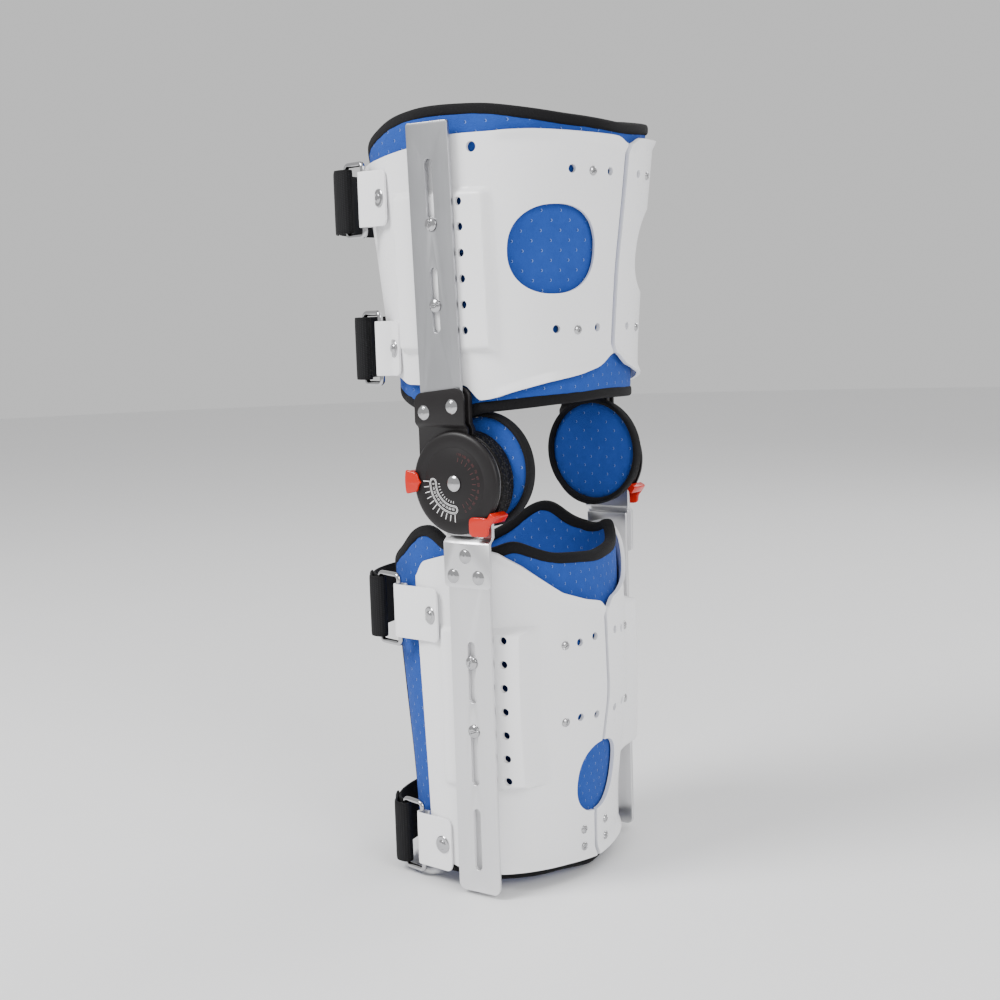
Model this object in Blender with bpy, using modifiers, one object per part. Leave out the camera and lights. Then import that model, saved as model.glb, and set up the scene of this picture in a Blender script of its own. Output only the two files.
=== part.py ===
"""Knee immobilizer: a hinged brace of two padded half-open cuffs, plastic half shells and metal side bars.

Metres, +Z up. The origin is the middle of the knee, on the hinge axis, which runs along X.
+X is the near side and -Y the front of the leg, where both cuffs are open and the straps cross.
"""

import math

import bmesh
import bpy
from mathutils import Matrix, Vector

# Spacing
GAP = 0.0003
SIDES = {"near": 1, "far": -1}
ACROSS = Vector((1, 0, 0))

# Leg sections of the shells' outer face: height, half width, front and back depth
SECTION_CENTRE_Y = -0.008
FRONT_POWER = 2.3
THIGH_SECTIONS = (
    (0.040, 0.0868, -0.0940, 0.0668),
    (0.090, 0.0884, -0.0992, 0.0685),
    (0.141, 0.0900, -0.1060, 0.0730),
    (0.192, 0.0915, -0.1138, 0.0803),
    (0.260, 0.0936, -0.1230, 0.0890),
)
CALF_SECTIONS = (
    (-0.300, 0.0847, -0.0930, 0.0445),
    (-0.243, 0.0847, -0.0965, 0.0450),
    (-0.212, 0.0847, -0.0990, 0.0500),
    (-0.158, 0.0847, -0.1050, 0.0588),
    (-0.104, 0.0847, -0.1110, 0.0575),
    (-0.030, 0.0847, -0.1130, 0.0545),
)
THIGH_BACK_POWER = 2.3
CALF_BACK_POWER = 1.85
CALF_NARROW_Z = -0.243

# Padded liners
LINER_THICK = 0.007
LINER_CLEAR = 0.0015
LINER_COLUMNS_DEG = (-58, -46, -34, -22, -10, 2, 14, 26, 38, 50, 63, 76, 90)
THIGH_RIM = (
    (-58, 0.230), (-32, 0.240), (-21, 0.246), (-5, 0.250),
    (19, 0.248), (37, 0.244), (56, 0.240), (90, 0.236),
)
THIGH_HEM = (
    (-58, 0.060), (-30, 0.051), (-12, 0.045), (6, 0.0445),
    (13, 0.0472), (26, 0.0485), (54, 0.051), (90, 0.053),
)
CALF_RIM = (
    (-58, -0.066), (-34, -0.050), (-24, -0.037), (-12, -0.030),
    (20, -0.030), (42, -0.046), (58, -0.054), (90, -0.057),
)
CALF_HEM = ((-58, -0.279), (-34, -0.281), (-6, -0.279), (50, -0.282), (66, -0.282), (90, -0.286))
CALF_RIM_ROUND_KNEE = 0.0482

# Plastic half shells: heights of the edges against the angle round the leg
SHELL_THICK = 0.003
THIGH_BACK_DEG = 89.5
CALF_BACK_DEG = 88.3
LIP_RISE = 0.0022
LIP_WIDTH = 0.007
PANEL_RISE = 0.0025
PANEL_BEND = 0.4
THIGH_SHELL_TOP = (
    (-52, 0.216), (-28, 0.220), (-10, 0.224), (5, 0.230),
    (40, 0.230), (66, 0.228), (84, 0.227), (90, 0.222),
)
THIGH_SHELL_BOTTOM = (
    (-52, 0.074), (-30, 0.070), (-24, 0.0655), (10, 0.0655), (13, 0.055), (21, 0.056),
    (34, 0.061), (51, 0.066), (69, 0.070), (82, 0.075), (90, 0.084),
)
CALF_SHELL_TOP = (
    (-20, -0.070), (-16, -0.058), (-5, -0.052), (10, -0.047), (19, -0.047), (27, -0.050), (39, -0.059),
    (50, -0.070), (60, -0.080), (74, -0.087), (84, -0.090), (90, -0.098),
)
CALF_SHELL_BOTTOM = ((-20, -0.262), (-6, -0.273), (20, -0.2755), (66, -0.277), (90, -0.279))
THIGH_PANEL = {"y": (-0.048, 0.027), "z": (0.090, 0.192)}
CALF_PANEL = {"y": (-0.0235, 0.036), "z": (-0.212, -0.104)}

# Windows and holes in the shells
THIGH_WINDOW = {"deg": 54, "z": 0.1535, "half_wide": 0.0315, "half_high": 0.0292}
CALF_WINDOW = {"z": -0.2190, "half_wide": 0.0240, "half_high": 0.0262}
WINDOW_SIDES = 18
WINDOW_POWER = 2.3
WINDOW_REACH = (0.02, 0.03)
HOLE_RADIUS = 0.0028
HOLE_SIDES = 6
HOLE_REACH = 0.008
THIGH_BACK_HOLES = ((60, 0.205), (81, 0.204), (56, 0.101), (80, 0.101))
THIGH_FRONT_HOLE = (14, 0.221)
FRONT_HOLE_RADIUS = 0.0035
THIGH_BACK_SCREWS = ((71, 0.204), (68, 0.100))
CALF_BACK_HOLES = ((69.2, -0.1165), (79.5, -0.1145), (69.2, -0.170), (80.5, -0.171))
CALF_BACK_SCREWS = ((60.5, -0.117), (60.3, -0.1715), (79, -0.2565), (79, -0.2690))
SHELL_SCREW_RADIUS = 0.0032
SHELL_SCREW_HIGH = 0.0016
SHELL_SCREW_ROOT = 0.0012
HEAD_SIDES = 8
THIGH_SIDE_HOLES = {"y": 0.0093, "z": (0.102, 0.119, 0.136, 0.153, 0.170, 0.1865)}
CALF_SIDE_HOLES = {"y": 0.0257, "z": (-0.108, -0.1245, -0.141, -0.1575, -0.174, -0.1905, -0.2065)}

# Hinge stack, as distances from the middle plane of the knee
HINGE_RADIUS = 0.0350
BRACKET_HEAD_RADIUS = 0.0340
DIAL_EDGE = 0.0008
DIAL_SIDES = 26
PAD_SIDES = 20
PIN_SIDES = 12
DIAL_X = (0.0923, 0.0958)
BRACKET_X = (0.0899, 0.0920)
PLATE_X = (0.0866, 0.0896)
HINGE_BACK_X = (0.0822, 0.0863)
HOOK_RING_X = (0.0745, 0.0819)
HOOK_RING_RADII = (0.0140, 0.0358)
PAD_X = (0.0650, 0.0742)
PAD_RADIUS = 0.0395
PAD_CENTRE = (0.0065, 0.0075)
PIN_RADIUS = 0.0022
PIN_HEAD_RADIUS = 0.0055
PIN_HEAD_HIGH = 0.0012
BRACKET_Y = (-0.0318, 0.0098)
BRACKET_TOP = 0.0625
BRACKET_CORNER = 0.007
JOG_FROM = 0.0362
JOG_TO = 0.0408
BRACKET_JOG = 0.0038
BACK_JOG = 0.0031
PLATE_JOG = 0.0042
BRACKET_RIVETS = ((-0.0228, 0.0490), (0.0012, 0.0500))
RIVET_RADIUS = 0.0050
RIVET_HIGH = 0.0013
RIVET_ROOT = 0.0010

# Side bars: height and outer face at the hinge end and at the far end
BAR_HALF_WIDE = 0.0172
BAR_THICK = 0.0030
BAR_CORNERS = {"thigh": 0.002, "calf": 0.005}
UPPER_BAR_Y = -0.0110
LOWER_BAR_Y = 0.0055
UPPER_BAR_PATH = ((0.0415, 0.0927), (0.2390, 0.0988))
LOWER_BAR_PATH = ((-0.0415, 0.0905), (-0.2860, 0.0905))
UPPER_SLOTS = ((0.1695, 0.2150), (0.1010, 0.1440))
LOWER_SLOTS = ((-0.1515, -0.1090), (-0.2095, -0.1685), (-0.2700, -0.2265))
SLOT_HALF_WIDE = 0.0030
SLOT_CUT_X = (0.08, 0.11)
UPPER_SCREWS_Z = (0.1725, 0.1190)
LOWER_SCREWS_Z = (-0.1235, -0.1715)
BARS = {
    "thigh": (UPPER_BAR_PATH, UPPER_BAR_Y, UPPER_SLOTS, UPPER_SCREWS_Z),
    "calf": (LOWER_BAR_PATH, LOWER_BAR_Y, LOWER_SLOTS, LOWER_SCREWS_Z),
}
BAR_SCREW_RADIUS = 0.0046
BAR_SCREW_HIGH = 0.0018
PLATE_Y = (-0.0125, 0.0255)
PLATE_BOTTOM = -0.0712
PLATE_CORNER = 0.003
PLATE_RIVETS = ((0.0055, -0.0495), (-0.0050, -0.0635), (0.0160, -0.0635))
PLATE_HEAD_RADIUS = 0.0325

# Hinge stops: inner radius and angles of the tab, radius of its point, and angles of the bridge over the rim
STOP_OUTER = 0.0405
STOP_THICK = 0.0020
EXTENSION_STOP = {"tab": (168, 192), "inner": 0.0310, "point": 0.0268, "bridge": (169, 191)}
FLEXION_STOP = {"tab": (-64, -41), "inner": 0.0285, "arm": -31, "bridge": (-40, -31)}

# Straps: height, root, rivet, the ring's two bars, the strap's front and the tab's lift off the outline
STRAP_COLUMNS = ("z", "root_y", "rivet_y", "inner_bar", "outer_bar", "front_y", "seat")
STRAPS = {
    "thigh_upper": (0.1935, -0.056, -0.066, (0.0806, -0.0815), (0.0762, -0.1005), -0.136, 0.0007),
    "thigh_lower": (0.0905, -0.053, -0.062, (0.0785, -0.0730), (0.0735, -0.0912), -0.117, -0.0001),
    "calf_upper": (-0.0945, -0.024, -0.034, (0.0792, -0.0650), (0.0738, -0.0865), -0.117, 0.0007),
    "calf_lower": (-0.2590, -0.020, -0.030, (0.0792, -0.0515), (0.0757, -0.0700), -0.099, 0.0007),
}
RING_WIRE_RADIUS = 0.0019
RING_HALF_HIGH = 0.0247
RING_CORNER = 0.0022
STRAP_HALF_WIDE = 0.0220
STRAP_LAID_SHARE = 0.46
STRAP_LAID_CLEAR = 0.0006
STRAP_THICK = 0.0020
FOLD_CLEAR = 0.0008
STRAP_POWER = 2.2
TAB_HALF_WIDE = 0.0190
TAB_THICK = 0.0016
TAB_TURN_IN = 0.005
TAB_RIVET_FROM_ROOT = 0.009
TAB_RIVET_RADIUS = 0.0034
TAB_RIVET_HIGH = 0.0012

COLOURS = {
    "blue_fabric": ((0.030, 0.090, 0.350), 0.95, 0.0),
    "black_fabric": ((0.012, 0.011, 0.012), 0.90, 0.0),
    "white_plastic": ((0.850, 0.850, 0.860), 0.35, 0.0),
    "black_plastic": ((0.025, 0.020, 0.020), 0.45, 0.0),
    "red_plastic": ((0.600, 0.025, 0.008), 0.40, 0.0),
    "aluminium": ((0.600, 0.600, 0.620), 0.35, 1.0),
    "steel": ((0.700, 0.700, 0.700), 0.22, 1.0),
}


def clear_scene():
    for old in list(bpy.data.objects):
        bpy.data.objects.remove(old, do_unlink=True)


def collection(name):
    made = bpy.data.collections.new(name)
    bpy.context.scene.collection.children.link(made)
    return made


def material(name):
    colour, roughness, metallic = COLOURS[name]
    made = bpy.data.materials.new(name)
    made.use_nodes = True
    shader = made.node_tree.nodes["Principled BSDF"]
    shader.inputs["Base Color"].default_value = (*colour, 1.0)
    shader.inputs["Roughness"].default_value = roughness
    shader.inputs["Metallic"].default_value = metallic
    return made


def table_value(rows, at, column=1):
    """Reads a table of rows sorted by their first column, with straight lines between them."""
    if at <= rows[0][0]:
        return rows[0][column]
    for low, high in zip(rows, rows[1:]):
        if at <= high[0]:
            share = (at - low[0]) / (high[0] - low[0])
            return low[column] + share * (high[column] - low[column])
    return rows[-1][column]


def add_object(name, mesh, finish, where, smooth_deg=35):
    """Links a mesh as a named sub-part, shaded smooth but for its sharp edges."""
    mesh.materials.append(finish)
    mesh.shade_smooth()
    mesh.set_sharp_from_angle(angle=math.radians(smooth_deg))
    made = bpy.data.objects.new(name, mesh)
    where.objects.link(made)
    return made


def mesh_from(name, shape):
    mesh = bpy.data.meshes.new(name)
    shape.to_mesh(mesh)
    shape.free()
    return mesh


def grid_surface(name, points, flip, finish, where):
    """An open sheet through rows of points, with its faces out towards the leg's outside."""
    shape = bmesh.new()
    rows = [[shape.verts.new(point) for point in row] for row in points]
    for low, high in zip(rows, rows[1:]):
        for index in range(len(low) - 1):
            corners = [low[index], low[index + 1], high[index + 1], high[index]]
            shape.faces.new(corners[::-1] if flip else corners)
    return add_object(name, mesh_from(name, shape), finish, where)


def thicken(piece, thickness, offset):
    wall = piece.modifiers.new("wall", "SOLIDIFY")
    wall.thickness = thickness
    wall.offset = offset
    wall.use_even_offset = True
    return wall


def cut(piece, cutter):
    bite = piece.modifiers.new("cut", "BOOLEAN")
    bite.operation = "DIFFERENCE"
    bite.object = cutter
    return bite


def join(piece, other):
    weld = piece.modifiers.new("join", "BOOLEAN")
    weld.operation = "UNION"
    weld.object = other
    return weld


def as_cutter(piece):
    piece.hide_render = True
    piece.display_type = "WIRE"
    return piece


def section_point(sections, back_power, degrees, height, offset=0.0):
    """A point of the leg's outline: a superellipse whose front and back halves have their own depth."""
    side = table_value(sections, height, 1) + offset
    front = table_value(sections, height, 2) - offset
    back = table_value(sections, height, 3) + offset
    turn = math.radians(degrees)
    across, along = math.cos(turn), math.sin(turn)
    power = back_power if along > 0 else FRONT_POWER
    reach = (back if along > 0 else front) - SECTION_CENTRE_Y
    x = math.copysign(side * abs(across) ** (2 / power), across)
    return Vector((x, SECTION_CENTRE_Y + reach * abs(along) ** (2 / power), height))


def section_normal(sections, back_power, degrees, height):
    before = section_point(sections, back_power, degrees - 0.5, height)
    after = section_point(sections, back_power, degrees + 0.5, height)
    run = (after - before).normalized()
    return Vector((run.y, -run.x, 0))


def section_degrees(sections, back_power, y, height):
    """The angle at which the near half of the outline passes through y."""
    low, high = -89.0, 89.0
    for _ in range(40):
        middle = (low + high) / 2
        if section_point(sections, back_power, middle, height).y < y:
            low = middle
        else:
            high = middle
    return (low + high) / 2


def liner(name, sections, back_power, rim, hem, round_knee, finish, where):
    """A padded sleeve round the leg, open in front, whose rim dips round the knee pads."""
    outline = list(LINER_COLUMNS_DEG) + [180 - degrees for degrees in LINER_COLUMNS_DEG[-2::-1]]
    points = []
    inset = -(SHELL_THICK + LINER_CLEAR)
    levels = [row[0] for row in sections[1:-1]]
    for step in range(len(levels) + 2):
        row = []
        for degrees in outline:
            near = degrees if degrees <= 90 else 180 - degrees
            low = table_value(hem, near)
            high = table_value(rim, near)
            if round_knee:
                y = section_point(sections, back_power, near, high, inset).y
                if abs(y) < round_knee:
                    high = min(high, -math.sqrt(round_knee ** 2 - y ** 2))
            height = [low, *levels, high][step]
            row.append(section_point(sections, back_power, degrees, height, inset))
        points.append(row)
    piece = grid_surface(name, points, False, finish, where)
    thicken(piece, LINER_THICK, -1)
    return piece


def shell_columns(sections, back_power, ends, panel, extra):
    """Angles of a shell's columns and of its raised panel's two side edges."""
    middle = sum(panel["z"]) / 2
    raised = [section_degrees(sections, back_power, y, middle) for y in panel["y"]]
    feet = [section_degrees(sections, back_power, panel["y"][0] - PANEL_RISE, middle)]
    feet.append(section_degrees(sections, back_power, panel["y"][1] + PANEL_RISE, middle))
    outside = [degrees for degrees in extra if not feet[0] < degrees < feet[1]]
    under_bar = [raised[0] + (raised[1] - raised[0]) * share for share in (0.33, 0.67)]
    return sorted([*ends] + outside + feet + raised + under_bar), raised


def shell_point(sections, back_power, panel, raised, degrees, height, lip):
    """A point of a shell's outer face, raised on the panel that carries the bar and on its lips."""
    point = section_point(sections, back_power, degrees, height)
    rise = lip
    z_low, z_high = panel["z"]
    if raised[0] <= degrees <= raised[1] and z_low <= height <= z_high:
        rise = PANEL_RISE
    point += rise * section_normal(sections, back_power, degrees, height)
    flat = table_value(sections, height, 1) + PANEL_RISE
    if rise == PANEL_RISE:
        point.x = flat - PANEL_BEND * (flat - point.x)
    point.x = min(point.x, flat)
    return point


def half_shell(name, part, side, finish, where, cutters):
    """One plastic half shell: a lofted wall with flared lips, a raised panel, a window and holes."""
    thigh = part == "thigh"
    sections = THIGH_SECTIONS if thigh else CALF_SECTIONS
    back_power = THIGH_BACK_POWER if thigh else CALF_BACK_POWER
    panel = THIGH_PANEL if thigh else CALF_PANEL
    top = THIGH_SHELL_TOP if thigh else CALF_SHELL_TOP
    bottom = THIGH_SHELL_BOTTOM if thigh else CALF_SHELL_BOTTOM
    extra = (-41, 32, 43, 54, 66, 78) if thigh else (34, 45, 56, 67, 78)
    ends = (bottom[0][0], THIGH_BACK_DEG if thigh else CALF_BACK_DEG)
    columns, raised = shell_columns(sections, back_power, ends, panel, extra)
    z_low, z_high = panel["z"]
    levels = (z_low - PANEL_RISE, z_low, (z_low + z_high) / 2, z_high, z_high + PANEL_RISE)
    if not thigh:
        levels = (CALF_NARROW_Z, *levels)
    rows = []
    for kind in ("hem", "hem_root", *levels, "rim_root", "rim"):
        row = []
        for degrees in columns:
            low, high = table_value(bottom, degrees), table_value(top, degrees)
            places = {"hem": low, "hem_root": low + LIP_WIDTH, "rim_root": high - LIP_WIDTH, "rim": high}
            height = places.get(kind, kind)
            if kind not in places:
                height = min(max(height, low + LIP_WIDTH + 0.002), high - LIP_WIDTH - 0.002)
            lip = LIP_RISE if kind in ("hem", "rim") and degrees > 24 else 0.0
            row.append(shell_point(sections, back_power, panel, raised, degrees, height, lip))
        rows.append([Vector((side * point.x, point.y, point.z)) for point in row])
    piece = grid_surface(name, rows, side < 0, finish, where)
    thicken(piece, SHELL_THICK, -1)
    for cutter in shell_cutters(name, part, side, sections, back_power, finish, cutters):
        cut(piece, cutter)
    screws = THIGH_BACK_SCREWS if thigh else CALF_BACK_SCREWS
    for index, (degrees, height) in enumerate(screws):
        centre = section_point(sections, back_power, degrees, height)
        normal = section_normal(sections, back_power, degrees, height)
        start = centre - SHELL_SCREW_ROOT * normal
        long = SHELL_SCREW_ROOT + SHELL_SCREW_HIGH
        label = f"{name}_screw_{index}"
        head = rod(label, start, normal, long, SHELL_SCREW_RADIUS, HEAD_SIDES, side, finish, cutters)
        join(piece, as_cutter(head))
    return piece


def rod(name, start, direction, length, radius, sides, side, finish, where):
    """A cylinder from a start point along a direction, mirrored to the far side where side is -1."""
    shape = bmesh.new()
    bmesh.ops.create_cone(shape, cap_ends=True, segments=sides, radius1=radius, radius2=radius, depth=length)
    turn = direction.to_track_quat("Z", "X").to_matrix().to_4x4()
    place = Matrix.Translation(start + direction.normalized() * length / 2) @ turn
    bmesh.ops.transform(shape, matrix=place, verts=shape.verts)
    if side < 0:
        mirror(shape)
    return add_object(name, mesh_from(name, shape), finish, where)


def mirror(shape):
    bmesh.ops.scale(shape, vec=(-1, 1, 1), verts=shape.verts)
    bmesh.ops.reverse_faces(shape, faces=shape.faces)


def shell_cutters(name, part, side, sections, back_power, finish, where):
    """The window and the holes of one shell, as solids to cut with."""
    thigh = part == "thigh"
    made = []
    if thigh:
        window = THIGH_WINDOW
        centre = section_point(sections, back_power, window["deg"], window["z"])
        normal = section_normal(sections, back_power, window["deg"], window["z"])
    else:
        window = CALF_WINDOW
        centre = Vector((0, table_value(sections, window["z"], 3), window["z"]))
        normal = Vector((0, 1, 0))
    made.append(window_cutter(f"{name}_window", window, centre, normal, side, finish, where))
    spots = [(*spot, HOLE_RADIUS) for spot in (THIGH_BACK_HOLES if thigh else CALF_BACK_HOLES)]
    if thigh:
        spots.append((*THIGH_FRONT_HOLE, FRONT_HOLE_RADIUS))
    column = THIGH_SIDE_HOLES if thigh else CALF_SIDE_HOLES
    centres = []
    for degrees, height, radius in spots:
        centre = section_point(sections, back_power, degrees, height)
        centres.append((centre, section_normal(sections, back_power, degrees, height), radius))
    for height in column["z"]:
        degrees = section_degrees(sections, back_power, column["y"], height)
        centres.append((section_point(sections, back_power, degrees, height), ACROSS, HOLE_RADIUS))
    for index, (centre, normal, radius) in enumerate(centres):
        start = centre - HOLE_REACH * normal
        long = 3 * HOLE_REACH
        hole = rod(f"{name}_hole_{index}", start, normal, long, radius, HOLE_SIDES, side, finish, where)
        made.append(as_cutter(hole))
    return made


def window_cutter(name, window, centre, normal, side, finish, where):
    """A rounded window, a superellipse pushed through the wall."""
    shape = bmesh.new()
    across = Vector((-normal.y, normal.x, 0))
    loop = []
    reach_in, reach_out = WINDOW_REACH
    for step in range(WINDOW_SIDES):
        turn = math.tau * step / WINDOW_SIDES
        wide = math.copysign(abs(math.cos(turn)) ** (2 / WINDOW_POWER), math.cos(turn)) * window["half_wide"]
        high = math.copysign(abs(math.sin(turn)) ** (2 / WINDOW_POWER), math.sin(turn)) * window["half_high"]
        loop.append(shape.verts.new(centre + across * wide + Vector((0, 0, high)) - reach_in * normal))
    face = shape.faces.new(loop)
    grown = bmesh.ops.extrude_face_region(shape, geom=[face])
    ends = [item for item in grown["geom"] if isinstance(item, bmesh.types.BMVert)]
    bmesh.ops.translate(shape, vec=(reach_in + reach_out) * normal, verts=ends)
    bmesh.ops.recalc_face_normals(shape, faces=shape.faces)
    if side < 0:
        mirror(shape)
    return as_cutter(add_object(name, mesh_from(name, shape), finish, where))


def turned(name, profile, sides, side, finish, where):
    """A profile of (distance along the hinge axis, radius) turned about that axis."""
    shape = bmesh.new()
    verts = [shape.verts.new((x, 0, radius)) for x, radius in profile]
    for first, second in zip(verts, verts[1:] + verts[:1]):
        shape.edges.new((first, second))
    bmesh.ops.spin(
        shape, geom=shape.verts[:] + shape.edges[:], cent=(0, 0, 0), axis=(1, 0, 0),
        angle=math.tau, steps=sides, use_merge=True,
    )
    bmesh.ops.remove_doubles(shape, verts=shape.verts, dist=1e-6)
    loose = [edge for edge in shape.edges if not edge.link_faces]
    bmesh.ops.delete(shape, geom=loose, context="EDGES")
    bmesh.ops.recalc_face_normals(shape, faces=shape.faces)
    if side < 0:
        mirror(shape)
    return add_object(name, mesh_from(name, shape), finish, where)


def washer(name, x_range, inner, outer, edge, sides, side, finish, where):
    """A flat ring about the hinge axis, with its front corner broken by a small chamfer."""
    low, high = x_range
    profile = [(low, inner), (high, inner), (high, outer - edge), (high - edge, outer), (low, outer)]
    if edge == 0:
        profile.pop(3)
    return turned(name, profile, sides, side, finish, where)


def flat_plate(name, outline, x_range, side, finish, where):
    """An outline of (y, z) points given a thickness along X."""
    shape = bmesh.new()
    face = shape.faces.new([shape.verts.new((x_range[0], y, z)) for y, z in outline])
    grown = bmesh.ops.extrude_face_region(shape, geom=[face])
    ends = [item for item in grown["geom"] if isinstance(item, bmesh.types.BMVert)]
    bmesh.ops.translate(shape, vec=(x_range[1] - x_range[0], 0, 0), verts=ends)
    bmesh.ops.recalc_face_normals(shape, faces=shape.faces)
    if side < 0:
        mirror(shape)
    return add_object(name, mesh_from(name, shape), finish, where)


def jogged(name, outline, x_range, way, jog, side, finish, where):
    """A plate whose neck steps outwards by the jog beyond the rim of the hinge, above it or below it."""
    piece = flat_plate(name, outline, x_range, 1, finish, where)
    shape = bmesh.new()
    shape.from_mesh(piece.data)
    for height in (JOG_FROM, JOG_TO):
        every = shape.verts[:] + shape.edges[:] + shape.faces[:]
        level = (0, 0, way * height)
        bmesh.ops.bisect_plane(shape, geom=every, dist=1e-6, plane_co=level, plane_no=(0, 0, 1))
    for vert in shape.verts:
        share = (way * vert.co.z - JOG_FROM) / (JOG_TO - JOG_FROM)
        vert.co.x += jog * min(max(share, 0.0), 1.0)
    if side < 0:
        mirror(shape)
    shape.to_mesh(piece.data)
    shape.free()
    return piece


def arc(centre, radius, start_deg, end_deg, steps):
    """Points of an arc in the Y-Z plane, angles from +Y towards +Z."""
    span = end_deg - start_deg
    turns = [math.radians(start_deg + span * step / steps) for step in range(steps + 1)]
    return [(centre[0] + radius * math.cos(turn), centre[1] + radius * math.sin(turn)) for turn in turns]


def bracket_outline(radius):
    """A round head with a square-shouldered neck above it."""
    y_low, y_high = BRACKET_Y
    corner = BRACKET_CORNER
    right = math.degrees(math.acos(y_high / radius))
    left = 180 - math.degrees(math.acos(-y_low / radius))
    outline = arc((0, 0), radius, left, 360 + right, 20)
    outline += arc((y_high - corner, BRACKET_TOP - corner), corner, 0, 90, 3)
    outline += arc((y_low + corner, BRACKET_TOP - corner), corner, 90, 180, 3)
    return outline


def plate_outline(radius):
    """The round head of the lower plate with a broad foot below it."""
    y_low, y_high = PLATE_Y
    corner = PLATE_CORNER
    right = math.degrees(math.acos(y_high / radius))
    left = 180 + math.degrees(math.acos(-y_low / radius))
    outline = arc((0, 0), radius, -right, left, 18)
    outline += arc((y_low + corner, PLATE_BOTTOM + corner), corner, 180, 270, 2)
    outline += arc((y_high - corner, PLATE_BOTTOM + corner), corner, 270, 360, 2)
    return outline


def bar(name, path, middle_y, corner, slots, side, finish, where, cutters):
    """A flat bar along a path of (height, outer face), with rounded corners at its far end and slots."""
    shape = bmesh.new()
    heights = [row[0] for row in path]
    way = 1 if heights[-1] > heights[0] else -1
    far_end = path[-1][0]
    rows = [(height, face, BAR_HALF_WIDE) for height, face in path[:-1]]
    for turn_deg in (0, 45, 90):
        turn = math.radians(turn_deg)
        height = far_end - way * corner * (1 - math.sin(turn))
        face = table_value(sorted(path), height)
        rows.append((height, face, BAR_HALF_WIDE - corner * (1 - math.cos(turn))))
    loops = []
    for height, face, half in rows:
        corners = ((face, -half), (face, half), (face - BAR_THICK, half), (face - BAR_THICK, -half))
        loops.append([shape.verts.new((x, middle_y + y, height)) for x, y in corners])
    for low, high in zip(loops, loops[1:]):
        for index in range(4):
            after = (index + 1) % 4
            shape.faces.new((low[index], low[after], high[after], high[index]))
    shape.faces.new(loops[0])
    shape.faces.new(loops[-1])
    bmesh.ops.recalc_face_normals(shape, faces=shape.faces)
    if side < 0:
        mirror(shape)
    piece = add_object(name, mesh_from(name, shape), finish, where)
    for index, (low, high) in enumerate(slots):
        outline = arc((middle_y, high - SLOT_HALF_WIDE), SLOT_HALF_WIDE, 0, 180, 4)
        outline += arc((middle_y, low + SLOT_HALF_WIDE), SLOT_HALF_WIDE, 180, 360, 4)
        slot = flat_plate(f"{name}_slot_{index}", outline, SLOT_CUT_X, side, finish, cutters)
        cut(piece, as_cutter(slot))
    return piece


def bar_screw(name, path, middle_y, height, side, finish, where):
    """A pan head that sits on the bar over its slot, with a shank through the slot to the shell."""
    face = table_value(sorted(path), height)
    foot = face - BAR_THICK - GAP
    shank, top = SLOT_HALF_WIDE - GAP, face + BAR_SCREW_HIGH
    profile = (
        (foot, 0.0), (foot, shank), (face + GAP, shank), (face + GAP, BAR_SCREW_RADIUS),
        (face + BAR_SCREW_HIGH / 2, BAR_SCREW_RADIUS), (top, BAR_SCREW_RADIUS * 0.7), (top, 0.0),
    )
    piece = turned(name, profile, HEAD_SIDES, side, finish, where)
    piece.location = (0, middle_y, height)
    return piece


def stop(name, sizes, side, finish, where, cutters):
    """A clip on the hinge's rim: a tab over the dial, pointed or with an arm, and a bridge over the rim."""
    front = DIAL_X[1] + GAP
    low, high = sizes["tab"]
    outline = arc((0, 0), STOP_OUTER, low, sizes.get("arm", high), 6)
    if "arm" in sizes:
        outline += arc((0, 0), HINGE_RADIUS + 2 * GAP, sizes["arm"], high, 2)
    outline += arc((0, 0), sizes["inner"], high, low, 2)
    if "point" in sizes:
        middle = math.radians((low + high) / 2)
        outline[-2] = (sizes["point"] * math.cos(middle), sizes["point"] * math.sin(middle))
    tab_plate = flat_plate(name, outline, (front, front + STOP_THICK), side, finish, where)
    low, high = sizes["bridge"]
    span = arc((0, 0), STOP_OUTER, low, high, 4) + arc((0, 0), HINGE_RADIUS + GAP, high, low, 4)
    back = HINGE_BACK_X[0] + GAP
    bridge = flat_plate(f"{name}_bridge", span, (back, front + STOP_THICK / 2), side, finish, cutters)
    join(tab_plate, as_cutter(bridge))
    return tab_plate


def ribbon(name, path, middle_z, half_wide, thickness, side, finish, where):
    """A flat band of webbing or strip through a path of (x, y) points, upright across its width."""
    rows = [[Vector((side * x, y, middle_z + high)) for x, y in path] for high in (-half_wide, half_wide)]
    piece = grid_surface(name, rows, side < 0, finish, where)
    thicken(piece, thickness, 0)
    return piece


def strap_row(name):
    return dict(zip(STRAP_COLUMNS, STRAPS[name]))


def bar_frame(row):
    """The direction forward along the ring, and the one away from the leg."""
    inner, outer = Vector(row["inner_bar"]), Vector(row["outer_bar"])
    forward = (outer - inner).normalized()
    return inner, outer, forward, Vector((-forward.y, forward.x))


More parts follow.
